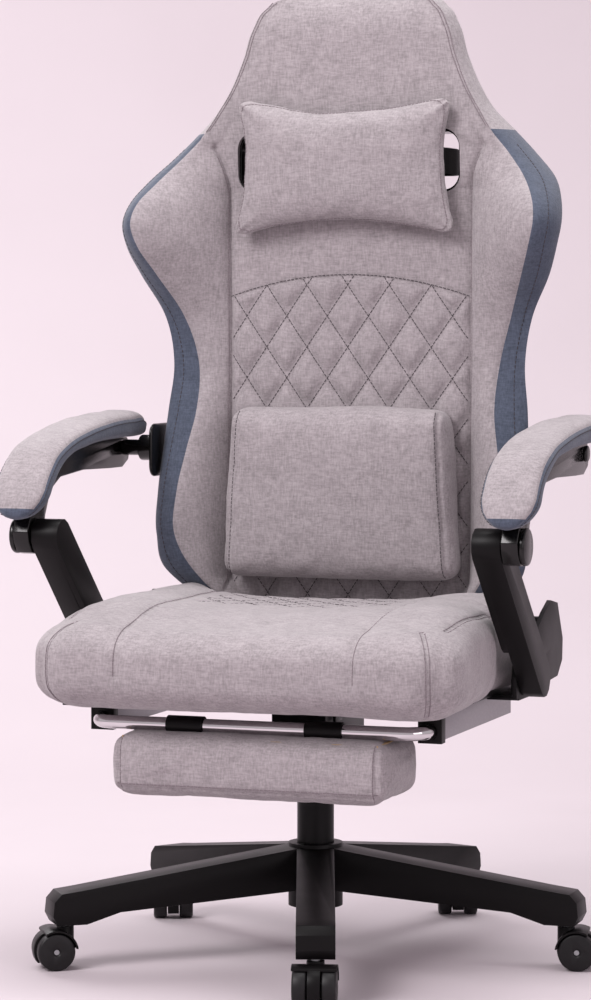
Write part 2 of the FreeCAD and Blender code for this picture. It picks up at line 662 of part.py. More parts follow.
def recliner():
    plates, covers, brackets = [], [], []
    pivotY, pivotZ = d.recline_y, reclineZ
    footY, footZ = d.strut_foot_y, strutFootZ
    coverTop = seatLow + d.cover_top
    teardrop = [(footY - 34, footZ - 26), (pivotY + 10, pivotZ - 34), (pivotY + 34, pivotZ - 14),
                (pivotY + 36, pivotZ + 16), (pivotY + 8, coverTop), (pivotY - 28, coverTop + 6),
                (pivotY - 62, coverTop - 8), (footY + 34, footZ + 40), (footY - 20, footZ + 30),
                (footY - 38, footZ + 4)]
    inner = [(footY - 28, footZ - 20), (pivotY + 8, pivotZ - 28), (pivotY + 28, pivotZ),
             (pivotY + 4, coverTop - 30), (footY + 30, footZ + 32), (footY - 18, footZ + 24)]
    for name, side in SIDES.items():
        plate = sidePlate("plate", inner, plateX, d.side_plate, side, False)
        outer = plateX + d.side_plate
        shelf = block(side * (railX + d.rail_half_width + 2), side * outer, footY, footY + 105,
                      seatLow - 5, seatLow)
        stud = crossRod(d.shaft_radius, side * (plateX + 1), side * (strutX + d.strut_width - 2),
                        footY, footZ)
        plates.append(cut(fuse(plate, shelf, stud),
                          crossRod(d.shaft_radius + d.running, side * (plateX - 2), side * (outer + 2),
                                   pivotY, pivotZ)))
        cover = sidePlate("cover", teardrop, coverX, d.cover_width, side, False)
        reach = coverX + d.cover_width
        covers.append(cut(cover,
                          crossRod(d.shaft_radius + 0.1, side * (coverX - 2), side * (reach + 2), footY, footZ),
                          crossRod(d.shaft_radius + 2, side * (coverX - 2), side * (coverX + 3),
                                   pivotY, pivotZ)))
        near = plateX - d.gap - d.side_plate
        tubeY, tubeZ = d.panel_front + d.panel_depth / 2, backLow - d.frame_tube - 4
        link = sidePlate("link", capsule(pivotY, pivotZ, tubeY, tubeZ, 20, d.frame_tube + 4), near,
                         d.side_plate, side, False)
        brackets.append(cut(link, crossRod(d.shaft_radius, side * (near - 2), side * (plateX + 2),
                                           pivotY, pivotZ),
                            crossRod(d.frame_tube, side * (near - 4), side * (near + 6), tubeY, tubeZ)))
    named("recliner_plates", group(*plates))
    named("recliner_covers", group(*covers))
    named("back_brackets", group(*brackets))
    shaftEnd = plateX + d.side_plate + 2
    named("recline_shaft", crossRod(d.shaft_radius, -shaftEnd, shaftEnd, pivotY, pivotZ))

    leverX = coverX + d.cover_width + 1
    handle = sidePlate("lever", capsule(pivotY - 40, pivotZ + 14, pivotY + 46, pivotZ + 58, 11, 9),
                       leverX, 8, -1, False)
    named("recline_lever", handle)


# ---- back ----------------------------------------------------------------------------------

# Sections of a wing: height above the back's foot, how far its inner seam, its front edge and
# its outer edge stand outboard of the panel, and how far the last two stand ahead of the panel.
WING = (
    # rise, seam out, front out, front ahead, side out, side ahead
    (50, 0, 30, 57, 92, 42),
    (165, 0, 57, 52, 93, 37),
    (278, 0, 41, 28, 87, 17),
    (345, 0, 45, 4, 80, 12),
    (411, 0, 64, 15, 93, 14),
    (469, 0, 92, 66, 122, 34),
    (525, 0, 113, 97, 140, 49),
    (566, 0, 109, 82, 136, 27),
    (600, 9, 90, 48, 118, -4),
    (632, 21, 63, 24, 86, -22),
    (662, 32, 38, 12, 48, -30),
)


def wing(name, side):
    body = newBody(f"wing_{name}")
    front, rear = d.panel_front, backRear
    seam = panelX + d.gap
    sketches = []
    for rise, seamOut, frontOut, frontAhead, sideOut, sideAhead in WING:
        back = max(frontOut, sideOut - 22)
        corners = [(side * (seam + seamOut), rear - 8), (side * (seam + seamOut), front),
                   (side * (panelX + frontOut), front - frontAhead),
                   (side * (panelX + sideOut), front - sideAhead), (side * (panelX + back), rear - 14)]
        sketches.append(polygon(sketchOn(body, "XY_Plane", backLow + rise), corners))
    loft = body.newObject("PartDesign::AdditiveLoft", "Loft")
    loft.Profile = sketches[0]
    loft.Sections = sketches[1:]
    loft.Ruled = True
    body.Tip = loft


def backTube(grow, extra):
    """Steel tube inside the back: two uprights, a little thinner, between two cross tubes."""
    y = d.panel_front + d.panel_depth / 2
    low = backLow - d.frame_tube - 4
    high = holeZ - d.hole_half_height - d.frame_tube - 8
    legX = panelX - 25
    reach = plateX - d.gap - d.side_plate
    top = legX + d.frame_tube + 4
    legs = [rod(d.frame_tube - 1.5 + grow, high - low, side * legX, y, low) for side in (1, -1)]
    return fuse(crossRod(d.frame_tube + grow, -top - grow, top + grow, y, high),
                crossRod(d.frame_tube + grow, -reach - extra, reach + extra, y, low), *legs)


def holeBlock(side, spare, y0, y1):
    """Rounded opening of a harness hole, grown by spare all round."""
    x0, x1 = holeX - d.hole_half_width - spare, holeX + d.hole_half_width + spare
    shape = block(side * x0, side * x1, y0, y1, holeZ - d.hole_half_height - spare,
                  holeZ + d.hole_half_height + spare)
    return rounded(shape, "Y", 26 + number(spare))


def back():
    slab = newBody("panel", False)
    neck = backLow + d.shoulder_rise
    top = backLow + d.head_rise
    outline = [(panelX, backLow), (panelX, neck), (panelX + 32, neck + 90), (panelX + 38, neck + 110),
               (panelX + 6, neck + 150), (panelX - 14, neck + 190), (panelX - 28, neck + 235),
               (panelX - 60, top - 14), (panelX - 110, top)]
    mirrored = [(-x, z) for x, z in reversed(outline)]
    pad(slab, polygon(sketchOn(slab, "XZ_Plane", -backRear), outline + mirrored), d.panel_depth)
    holes = [holeBlock(side, 0, d.panel_front - 10, backRear + 10) for side in (1, -1)]
    named("back_cushion", cut(slab, backTube(d.gap, 0), *holes))
    named("back_frame", cut(backTube(Size("0", 0), -1), backTube(-d.frame_wall, 1)))
    bezels = []
    for side in (1, -1):
        rim = holeBlock(side, -d.gap, d.panel_front - 0.3, backRear + 2)
        bezels.append(cut(rim, holeBlock(side, -d.bezel_wall, d.panel_front - 20, backRear + 20)))
    named("harness_bezels", group(*bezels))
    for name, side in SIDES.items():
        wing(name, side)

    mounts = []
    for side in (1, -1):
        inner = panelX + 95
        y, z = d.rear_pivot_y, rearPivotZ
        plate = rounded(block(side * inner, side * (inner + 5), y - 24, y + 70, z - 40, z + 34), "X", 16)
        padX = armX + d.arm_width / 2 - d.arm_pad_width / 2
        hub = crossRod(18, side * (inner + 4), side * (padX - 2), y, z)
        neck = crossRod(11, side * (padX - 4), side * (armX - 1), y, z)
        stud = crossRod(d.shaft_radius, side * (inner + 2), side * (armX + d.arm_width - 1), y, z)
        mounts.append(fuse(plate, hub, neck, stud))
    named("arm_mounts", group(*mounts))


# ---- armrests ------------------------------------------------------------------------------


def arm(name, side):
    rearY, rearZ, frontY, frontZ = d.rear_pivot_y, rearPivotZ, d.front_pivot_y, frontPivotZ
    # line between the pad and the frame, from the rear to the front tip
    underside = [(rearY + 18, rearZ + 14), (rearY - 84, rearZ + 12), (frontY + 110, rearZ + 3),
                 (frontY + 50, frontZ + 97), (frontY + 18, frontZ + 80), (frontY - 4, frontZ + 52),
                 (frontY - 27, frontZ + 20)]
    upper = [(rearY + 46, rearZ + 20), (rearY + 44, rearZ + 40), (rearY + 16, rearZ + 48),
             (rearY - 104, rearZ + 44), (frontY + 90, rearZ + 29), (frontY + 24, frontZ + 118),
             (frontY - 14, frontZ + 91), (frontY - 38, frontZ + 58), (frontY - 53, frontZ + 28),
             (frontY - 46, frontZ + 15)]
    middle = armX + d.arm_width / 2
    half = d.arm_pad_width / 2
    sidePlate(f"arm_pad_{name}", upper + list(reversed(underside)), middle - half, d.arm_pad_width, side)

    drop = 0.6
    top = [(y, z - drop) for y, z in underside[:-1]] + [(frontY - 28, frontZ + 6)]
    nose = [(frontY - 24, frontZ - 8), (frontY - 13, frontZ - 22), (frontY + 6, frontZ - 25),
            (frontY + 22, frontZ - 12)]
    belly = [(frontY + 32, frontZ + 26), (frontY + 50, frontZ + 58), (frontY + 84, frontZ + 74),
             (rearY - 140, rearZ - 26), (rearY - 40, rearZ - 28), (rearY, rearZ - 28),
             (rearY + 22, rearZ - 18), (rearY + 30, rearZ + 2)]
    frame = sidePlate("frame", top + nose + belly, armX, d.arm_width, side, False)
    near, far = armX - 2, armX + d.arm_width + 2
    rearHole = crossRod(d.shaft_radius + d.running, side * near, side * far, rearY, rearZ)
    # the front pivot is left open: its bore clears the strut's stud through the whole recline
    frontHole = crossRod(d.shaft_radius + d.pivot_play, side * near, side * far, frontY, frontZ)
    named(f"arm_frame_{name}", cut(frame, rearHole, frontHole))

    face = armX + d.arm_width + 0.2
    caps = [crossRod(11, side * face, side * (face + 6), rearY, rearZ),
            crossRod(24, side * face, side * (face + 7), frontY, frontZ)]
    named(f"arm_caps_{name}", group(*caps))

    bar = sidePlate("bar", capsule(d.strut_foot_y, strutFootZ, frontY, frontZ, d.strut_half_height + 2,
                                   d.strut_half_height), strutX, d.strut_width, side, False)
    # above the recliner cover the strut reaches further in
    share = 0.33
    wideY = d.strut_foot_y + (frontY - d.strut_foot_y) * share
    wideZ = strutFootZ + (frontZ - strutFootZ) * share
    inner = sidePlate("inner", capsule(wideY, wideZ, frontY, frontZ, d.strut_half_height,
                                       d.strut_half_height), strutX - d.strut_step, d.strut_step + 2,
                      side, False)
    outer = strutX + d.strut_width
    stud = crossRod(d.shaft_radius, side * (outer - 1), side * (armX + d.arm_width - 1), frontY, frontZ)
    hole = crossRod(d.shaft_radius + d.running, side * (strutX - 2), side * (outer - 1),
                    d.strut_foot_y, strutFootZ)
    named(f"strut_{name}", cut(fuse(bar, inner, stud), hole))


# ---- pillows -------------------------------------------------------------------------------


def pillows():
    rear = d.panel_front - d.gap
    middle = holeZ - 6
    half, tall = d.head_pillow_half, d.head_pillow_height
    named("head_pillow", rounded(block(-half, half, rear - d.head_pillow_depth, rear, middle - tall / 2,
                                       middle + tall / 2), "Y", 18))
    behind = backRear + 4
    legs = [block(side * 42, side * 66, rear, behind + 1, holeZ - 10, holeZ + 10) for side in (1, -1)]
    hollow = [block(side * 39, side * 64, rear - 1, behind - 1, holeZ - 11, holeZ + 11) for side in (1, -1)]
    across = block(-66, 66, behind - 1, behind + 1, holeZ - 10, holeZ + 10)
    named("head_pillow_strap", fuse(cut(fuse(*legs), *hollow), across))
    low = seatLow + d.seat_height + 27
    wide = d.lumbar_half
    named("lumbar_pillow", rounded(block(-wide, wide, rear - d.lumbar_depth, rear, low,
                                         low + d.lumbar_height), "X", 18))


starBase()
for casterIndex, casterTrail in enumerate(TRAILS):
    caster(casterIndex, casterTrail)
gasLift()
tiltMechanism()
seatPlate()
seat()
footrest()
recliner()
back()
for armName, armSide in SIDES.items():
    arm(armName, armSide)
pillows()
doc.recompute()

for item in doc.Objects:
    if "Invalid" in item.State or "Error" in item.State:
        raise RuntimeError(f"{item.Label} did not compute: {item.State}")
os.makedirs("parts", exist_ok=True)
for node in nodes:
    if node.Shape.isNull() or not node.Shape.isValid() or not node.Shape.Solids:
        raise RuntimeError(f"{node.Label} has no valid solid")
for node in nodes:
    node.Shape.exportStep(f"parts/{node.Label}.step")
print(len(nodes), "nodes")
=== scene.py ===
import bpy
import bmesh
import json
import math
import numpy as np
from mathutils import Matrix, Vector, noise
from mathutils.bvhtree import BVHTree
from mathutils.kdtree import KDTree


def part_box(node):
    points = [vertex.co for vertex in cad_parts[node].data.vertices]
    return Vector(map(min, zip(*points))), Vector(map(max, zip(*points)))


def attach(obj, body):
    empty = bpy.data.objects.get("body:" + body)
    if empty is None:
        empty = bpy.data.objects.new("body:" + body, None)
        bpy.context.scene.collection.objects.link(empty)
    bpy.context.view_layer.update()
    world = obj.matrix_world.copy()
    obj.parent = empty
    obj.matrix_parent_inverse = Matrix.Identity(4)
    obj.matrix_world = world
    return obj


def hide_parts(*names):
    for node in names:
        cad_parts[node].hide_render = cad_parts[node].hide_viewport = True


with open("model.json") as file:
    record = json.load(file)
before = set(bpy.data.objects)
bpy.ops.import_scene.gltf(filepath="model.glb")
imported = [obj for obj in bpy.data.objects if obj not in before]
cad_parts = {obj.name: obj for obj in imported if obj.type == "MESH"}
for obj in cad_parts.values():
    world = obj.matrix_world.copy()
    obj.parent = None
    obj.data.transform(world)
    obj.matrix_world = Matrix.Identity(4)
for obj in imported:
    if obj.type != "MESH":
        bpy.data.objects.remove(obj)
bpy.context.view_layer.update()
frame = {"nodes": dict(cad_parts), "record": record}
bodyOf = {node: body for body, members in frame["record"]["behaviour"]["bodies"].items()
          for node in members}
print("frame loaded:", len(bodyOf), "nodes")

# small tools

def hexColour(code, alpha=1.0):
    parts = [int(code[i:i + 2], 16) / 255 for i in (1, 3, 5)]
    linear = [c / 12.92 if c <= 0.04045 else ((c + 0.055) / 1.055) ** 2.4 for c in parts]
    return (*linear, alpha)


def addNode(tree, kind, settings=None, links=None):
    node = tree.nodes.new(kind)
    for key, value in (settings or {}).items():
        if isinstance(key, str) and hasattr(node, key):
            setattr(node, key, value)
        else:
            node.inputs[key].default_value = value
    for key, source in (links or {}).items():
        tree.links.new(source, node.inputs[key])
    return node


def newObject(name, verts, faces):
    mesh = bpy.data.meshes.new(name)
    mesh.from_pydata([tuple(v) for v in verts], [], faces)
    mesh.validate()
    obj = bpy.data.objects.new(name, mesh)
    bpy.context.scene.collection.objects.link(obj)
    return obj


def shadeSmooth(obj, angle=None):
    for face in obj.data.polygons:
        face.use_smooth = True
    if angle is not None:
        obj.data.set_sharp_from_angle(angle=math.radians(angle))
    return obj


def outward(obj):
    bm = bmesh.new()
    bm.from_mesh(obj.data)
    bmesh.ops.remove_doubles(bm, verts=bm.verts, dist=1e-6)
    bmesh.ops.recalc_face_normals(bm, faces=bm.faces)
    bm.to_mesh(obj.data)
    bm.free()
    return obj


def paint(obj, *materials):
    obj.data.materials.clear()
    for material in materials:
        obj.data.materials.append(material)
    return obj


def applyModifiers(obj):
    bpy.context.view_layer.update()
    graph = bpy.context.evaluated_depsgraph_get()
    mesh = bpy.data.meshes.new_from_object(obj.evaluated_get(graph))
    old = obj.data
    obj.modifiers.clear()
    obj.data = mesh
    bpy.data.meshes.remove(old)
    return obj


def modify(obj, kind, **settings):
    modifier = obj.modifiers.new(kind.title(), kind)
    for key, value in settings.items():
        setattr(modifier, key, value)
    return modifier


def subdivided(obj, levels=1):
    modify(obj, "SUBSURF", levels=levels, render_levels=levels)
    return applyModifiers(obj)


def settle(obj, body, slot, *nodes, fill=None):
    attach(obj, body)
    if nodes:
        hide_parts(*nodes)
    return obj


# Hermite interpolation of a table whose first column is the place along the shape.
def along(table, at):
    rows = np.array(table, float)
    x, y = rows[:, 0], rows[:, 1:]
    slope = np.gradient(y, x, axis=0)
    i = int(np.clip(np.searchsorted(x, at) - 1, 0, len(x) - 2))
    h = x[i + 1] - x[i]
    t = float(np.clip((at - x[i]) / h, 0, 1))
    return ((2 * t**3 - 3 * t**2 + 1) * y[i] + (t**3 - 2 * t**2 + t) * h * slope[i]
            + (3 * t**2 - 2 * t**3) * y[i + 1] + (t**3 - t**2) * h * slope[i + 1])


def bezier(a, b, c, t):
    return a * (1 - t) ** 2 + b * 2 * t * (1 - t) + c * t * t


# materials

def principled(name, colour, roughness, metallic=0.0, **constants):
    material = bpy.data.materials.new(name)
    material.use_nodes = True
    tree = material.node_tree
    shader = tree.nodes["Principled BSDF"]
    shader.inputs["Base Color"].default_value = hexColour(colour)
    shader.inputs["Roughness"].default_value = roughness
    shader.inputs["Metallic"].default_value = metallic
    for key, value in constants.items():
        shader.inputs[key].default_value = value
    place = addNode(tree, "ShaderNodeTexCoord").outputs["Object"]
    return material, tree, shader, place


def mixColour(tree, factor, dark, light):
    mix = addNode(tree, "ShaderNodeMix", {"data_type": "RGBA"}, {"Factor": factor})
    mix.inputs[6].default_value = hexColour(dark)
    mix.inputs[7].default_value = hexColour(light)
    return mix.outputs[2]


def bump(tree, shader, height, strength, distance):
    made = addNode(tree, "ShaderNodeBump", {"Strength": strength, "Distance": distance},
                   {"Height": height})
    tree.links.new(made.outputs["Normal"], shader.inputs["Normal"])


# Brushed linen-look polyester: a heathered, slightly cloudy weave with a soft nap.
def linenCloth(name, dark, light, cloud=38, thread=900):
    material, tree, shader, place = principled(
        name, light, 0.92, **{"Sheen Weight": 0.22, "Sheen Roughness": 0.5, "Specular IOR Level": 0.25})
    clouds = addNode(tree, "ShaderNodeTexNoise", {"Scale": cloud, "Detail": 5, "Roughness": 0.62},
                     {"Vector": place})
    slub = addNode(tree, "ShaderNodeMapping", {"Scale": (1.0, 1.0, 0.22)}, {"Vector": place})
    fibres = addNode(tree, "ShaderNodeTexNoise", {"Scale": 420, "Detail": 3, "Roughness": 0.6},
                     {"Vector": slub.outputs[0]})
    across = addNode(tree, "ShaderNodeMapping", {"Scale": (0.22, 0.6, 1.0)}, {"Vector": place})
    weft = addNode(tree, "ShaderNodeTexNoise", {"Scale": 420, "Detail": 3, "Roughness": 0.6},
                   {"Vector": across.outputs[0]})
    both = addNode(tree, "ShaderNodeMath", {"operation": "ADD"},
                   {0: fibres.outputs["Fac"], 1: weft.outputs["Fac"]})
    heather = addNode(tree, "ShaderNodeMath", {"operation": "MULTIPLY_ADD", 1: 0.50, 2: -0.02},
                      {0: both.outputs[0]})
    total = addNode(tree, "ShaderNodeMath", {"operation": "MULTIPLY_ADD", 1: 0.26},
                    {0: clouds.outputs["Fac"], 2: heather.outputs[0]})
    spread = addNode(tree, "ShaderNodeMapRange", {"From Min": 0.42, "From Max": 0.88},
                     {"Value": total.outputs[0]})
    tree.links.new(mixColour(tree, spread.outputs[0], dark, light), shader.inputs["Base Color"])
    grain = addNode(tree, "ShaderNodeTexNoise", {"Scale": thread, "Detail": 2}, {"Vector": place})
    relief = addNode(tree, "ShaderNodeMath", {"operation": "ADD"},
                     {0: both.outputs[0], 1: grain.outputs["Fac"]})
    bump(tree, shader, relief.outputs[0], 0.35, 0.0006)
    return material


# Moulded nylon and ABS: a fine spark-eroded texture that breaks the gloss up a little.
def mouldedPlastic(name, colour, roughness, grain=0.15, scale=1400, **constants):
    material, tree, shader, place = principled(name, colour, roughness, **constants)
    spots = addNode(tree, "ShaderNodeTexNoise", {"Scale": scale, "Detail": 2}, {"Vector": place})
    bump(tree, shader, spots.outputs["Fac"], grain, 0.0003)
    wear = addNode(tree, "ShaderNodeTexNoise", {"Scale": 22, "Detail": 4}, {"Vector": place})
    spread = addNode(tree, "ShaderNodeMapRange",
                     {"To Min": roughness - 0.05, "To Max": roughness + 0.08}, {"Value": wear.outputs["Fac"]})
    tree.links.new(spread.outputs[0], shader.inputs["Roughness"])
    return material


def metalFinish(name, colour, roughness, streak=0.0):
    material, tree, shader, place = principled(name, colour, roughness, 1.0)
    drawn = addNode(tree, "ShaderNodeMapping", {"Scale": (0.1, 1.0, 1.0)}, {"Vector": place})
    marks = addNode(tree, "ShaderNodeTexNoise", {"Scale": 300, "Detail": 3},
                    {"Vector": drawn.outputs[0]})
    spread = addNode(tree, "ShaderNodeMapRange",
                     {"To Min": max(0.02, roughness - 0.04), "To Max": roughness + 0.05 + streak},
                     {"Value": marks.outputs["Fac"]})
    tree.links.new(spread.outputs[0], shader.inputs["Roughness"])
    return material


linenGrey = linenCloth("heathered linen-look upholstery", "#817b7d", "#b3abae")
linenSeat = linenCloth("heathered linen-look seat", "#817b7d", "#b3abae", cloud=30)
suedeBlue = linenCloth("blue-grey brushed suede", "#3c4350", "#5a6273", cloud=60, thread=1300)
liningBlack = linenCloth("spunbond lining", "#141416", "#232326", cloud=90)
webbingBlack = linenCloth("elastic webbing", "#101012", "#1d1d20", cloud=120)
threadDark, _, _, _ = principled("bonded polyester thread", "#3a3438", 0.7)
threadGrey, _, _, _ = principled("tone-on-tone thread", "#7b7075", 0.75)
nylonBlack = mouldedPlastic("glass-filled nylon, matte", "#0c0a0b", 0.40, **{"Specular IOR Level": 0.16})
absGloss = mouldedPlastic("ABS, satin gloss", "#080707", 0.2, grain=0.04, **{"Specular IOR Level": 0.4})
rubberBlack = mouldedPlastic("polyurethane tread", "#0f0d0f", 0.45, grain=0.1,
                             **{"Specular IOR Level": 0.35})
steelBlack = mouldedPlastic("powder-coated steel", "#0a090a", 0.36, grain=0.2, scale=900,
                            **{"Specular IOR Level": 0.16})
chromePlate = metalFinish("polished chrome plate", "#d9d6d8", 0.06)
zincPlate = metalFinish("zinc-plated steel", "#a9abad", 0.32, 0.1)
railSilver = metalFinish("drawn aluminium", "#98969a", 0.3, 0.15)


def birchPly():
    material, tree, shader, place = principled("birch plywood", "#b99a6c", 0.6)
    grainPlace = addNode(tree, "ShaderNodeMapping", {"Scale": (0.15, 1, 1)}, {"Vector": place})
    grain = addNode(tree, "ShaderNodeTexNoise", {"Scale": 160, "Detail": 4},
                    {"Vector": grainPlace.outputs[0]})
    tree.links.new(mixColour(tree, grain.outputs["Fac"], "#93744a", "#cfb285"),
                   shader.inputs["Base Color"])
    return material


birch = birchPly()
finishOf = {"nylon_black": nylonBlack, "abs_gloss_black": absGloss, "steel_black": steelBlack,
            "steel_zinc": zincPlate, "chrome": chromePlate, "rail_silver": railSilver,
            "linen_grey": linenGrey, "suede_blue_grey": suedeBlue, "webbing_black": webbingBlack,
            "nonwoven_black": liningBlack, "wheel_black": rubberBlack, "plywood": birch}
slotOf = {part["node"]: part["material_slot"] for part in frame["record"]["subparts"]}
print("materials made")

# room and camera

room = {"floor": "#e6d8df", "wallRadius": 1.6, "wallDistance": 3.2, "width": 9.0, "height": 5.0}


def backdrop():
    radius, far, wide = room["wallRadius"], room["wallDistance"], room["width"]
    profile = [(-7.0, 0.0), (far - radius, 0.0)]
    for i in range(1, 17):
        a = math.pi / 2 * i / 16
        profile.append((far - radius + radius * math.sin(a), radius - radius * math.cos(a)))
    profile.append((far, room["height"]))
    turn = Matrix.Rotation(math.radians(19), 3, "Z")
    verts = [turn @ Vector((side * wide, y, z)) for y, z in profile for side in (-1, 1)]
    faces = [(2 * i, 2 * i + 1, 2 * i + 3, 2 * i + 2) for i in range(len(profile) - 1)]
    sweep = shadeSmooth(newObject("studio_sweep", verts, faces))
    material, tree, shader, place = principled("matte studio paper", room["floor"], 0.85)
    grain = addNode(tree, "ShaderNodeTexNoise", {"Scale": 3, "Detail": 2}, {"Vector": place})
    tree.links.new(mixColour(tree, grain.outputs["Fac"], "#c6bcc1", "#cbc1c6"),
                   shader.inputs["Base Color"])
    # seen from outside, the sweep lets the view through
    facing = addNode(tree, "ShaderNodeNewGeometry")
    clear = addNode(tree, "ShaderNodeBsdfTransparent")
    either = addNode(tree, "ShaderNodeMixShader", None,
                     {0: facing.outputs["Backfacing"], 1: shader.outputs[0], 2: clear.outputs[0]})
    tree.links.new(either.outputs[0], tree.nodes["Material Output"].inputs["Surface"])
    paint(sweep, material)


def areaLight(name, where, target, size, power, colour="#ffffff"):
    data = bpy.data.lights.new(name, "AREA")
    data.size, data.energy, data.color = size, power, hexColour(colour)[:3]
    lamp = bpy.data.objects.new(name, data)
    lamp.location = where
    lamp.rotation_euler = (Vector(target) - Vector(where)).to_track_quat("-Z", "Y").to_euler()
    bpy.context.scene.collection.objects.link(lamp)


def studio():
    backdrop()
    world = bpy.data.worlds.new("studio")
    bpy.context.scene.world = world
    bpy.context.scene.view_settings.view_transform = "Standard"
    world.use_nodes = True
    world.node_tree.nodes["Background"].inputs["Color"].default_value = hexColour("#eee5ea")
    world.node_tree.nodes["Background"].inputs["Strength"].default_value = 0.66
    areaLight("key", (-1.6, -3.2, 3.4), (0, 0, 0.7), 1.9, 152, "#fffafc")
    areaLight("fill", (3.6, -2.2, 1.8), (0, 0, 0.7), 2.6, 34, "#fdf1f8")
    areaLight("rim", (-2.4, 1.8, 2.4), (0, 0.1, 0.9), 1.4, 40)
    areaLight("top", (0.4, 0.2, 4.0), (0, 0, 0.5), 2.2, 92)


def camera():
    view = {"azimuth": 19.0, "distance": 4.6, "height": 0.873, "focal": 3409.0,
            "down": 3.19, "left": 0.34}
    data = bpy.data.cameras.new("camera")
    data.sensor_width = 36
    data.lens = view["focal"] / 1000 * 36
    eye = bpy.data.objects.new("camera", data)
    a = math.radians(view["azimuth"])
    eye.location = (view["distance"] * math.sin(a), -view["distance"] * math.cos(a), view["height"])
    eye.rotation_euler = (math.radians(90 - view["down"]), 0, math.radians(view["azimuth"] + view["left"]))
    bpy.context.scene.collection.objects.link(eye)
    bpy.context.scene.camera = eye


camera()
studio()
print("studio ready")

# hard parts taken from the frame, with their edges broken


def softenedCopy(name, node, width, segments=2, angle=32, material=None):
    source = frame["nodes"][node]
    mesh = source.data.copy()
    obj = bpy.data.objects.new(name, mesh)
    bpy.context.scene.collection.objects.link(obj)
    bm = bmesh.new()
    bm.from_mesh(mesh)
    bmesh.ops.remove_doubles(bm, verts=bm.verts, dist=1e-5)
    bmesh.ops.dissolve_limit(bm, angle_limit=math.radians(0.6), verts=bm.verts, edges=bm.edges)
    bm.to_mesh(mesh)
    bm.free()
    if width:
        modify(obj, "BEVEL", width=width, segments=segments, limit_method="ANGLE",
               angle_limit=math.radians(angle), use_clamp_overlap=True, harden_normals=False)
        applyModifiers(obj)
    shadeSmooth(obj, 38)
    slot = slotOf[node]
    paint(obj, material or finishOf[slot])
    return settle(obj, bodyOf[node], slot, node)


brokenEdges = {"height_lever": 0.002, "tension_knob": 0.003, "tilt_housing": 0.0012,
               "seat_plate": 0.001, "footrest_rails": 0.0012, "rail_end_blocks": 0.002,
               "foot_pad_sleeves": 0.0008, "recliner_covers": 0.003, "recline_lever": 0.0025,
               "recliner_plates": 0.0006, "back_brackets": 0.001, "seat_frame": 0.0015,
               "foot_pad_board": 0.001, "arm_mounts": 0.002, "harness_bezels": 0.0012,
               "star_base": 0.0035, "arm_frame_left": 0.004, "arm_frame_right": 0.004,
               "strut_left": 0.004, "strut_right": 0.004}
brokenEdges.update({node: 0.0012 for node in slotOf if node.startswith("caster_hood")})
brokenEdges.update({node: 0.003 for node in slotOf if node.startswith("caster_wheels")})
brokenEdges.update({node: 0.002 for node in slotOf if node.startswith("arm_cap")})


def plainParts():
    made = set()
    for node, width in brokenEdges.items():
        softenedCopy(f"{node}_finished", node, width)
        made.add(node)
    for node, slot in slotOf.items():
        if node not in made:
            paint(frame["nodes"][node], finishOf[slot])


plainParts()
print("hard parts finished")

# stitching: small capsules strung along paths by Geometry Nodes

stitchSizes = {"pitch": 0.0058, "length": 0.0040, "radius": 0.00055}


def stitchTree(name, material):
    tree = bpy.data.node_groups.new(name, "GeometryNodeTree")
    socket = tree.interface.new_socket
    socket("Geometry", in_out="INPUT", socket_type="NodeSocketGeometry")
    for label, value in (("Pitch", stitchSizes["pitch"]), ("Length", stitchSizes["length"]),
                         ("Radius", stitchSizes["radius"])):
        socket(label, in_out="INPUT", socket_type="NodeSocketFloat").default_value = value
    socket("Geometry", in_out="OUTPUT", socket_type="NodeSocketGeometry")
    given = tree.nodes.new("NodeGroupInput").outputs
    line = addNode(tree, "GeometryNodeMeshToCurve", None, {"Mesh": given["Geometry"]})
    spaced = addNode(tree, "GeometryNodeResampleCurve", {"mode": "LENGTH"},
                     {"Curve": line.outputs[0], "Length": given["Pitch"]})
    tangent = addNode(tree, "GeometryNodeInputTangent")
    aim = addNode(tree, "FunctionNodeAlignRotationToVector", {"axis": "Z"},
                  {"Vector": tangent.outputs[0]})
    stitch = addNode(tree, "GeometryNodeMeshCylinder", {"Vertices": 6},
                     {"Radius": given["Radius"], "Depth": given["Length"]})
    strung = addNode(tree, "GeometryNodeInstanceOnPoints", None,
                     {"Points": spaced.outputs[0], "Instance": stitch.outputs[0],
                      "Rotation": aim.outputs[0]})
    real = addNode(tree, "GeometryNodeRealizeInstances", None, {0: strung.outputs[0]})
    dyed = addNode(tree, "GeometryNodeSetMaterial", {"Material": material}, {"Geometry": real.outputs[0]})
    result = tree.nodes.new("NodeGroupOutput")
    tree.links.new(dyed.outputs[0], result.inputs["Geometry"])
    return tree


darkStitches = stitchTree("dark stitches", threadDark)
greyStitches = stitchTree("grey stitches", threadGrey)


def sewn(name, paths, tree, material, body, slot="webbing_black", **sizes):
    verts, edges = [], []
    for path in paths:
        start = len(verts)
        verts += [tuple(p) for p in path]
        edges += [(start + i, start + i + 1) for i in range(len(path) - 1)]
    mesh = bpy.data.meshes.new(name)
    mesh.from_pydata(verts, edges, [])
    obj = bpy.data.objects.new(name, mesh)
    bpy.context.scene.collection.objects.link(obj)
    modifier = obj.modifiers.new("stitches", "NODES")
    modifier.node_group = tree
    inputs = {item.name: item.identifier for item in tree.interface.items_tree
              if item.item_type == "SOCKET" and item.in_out == "INPUT"}
    for key, value in sizes.items():
        modifier[inputs[key]] = value
    applyModifiers(obj)
    paint(obj, material)
    return settle(obj, body, slot)


def surfaceOf(obj):
    graph = bpy.context.evaluated_depsgraph_get()
    return BVHTree.FromObject(obj, graph)


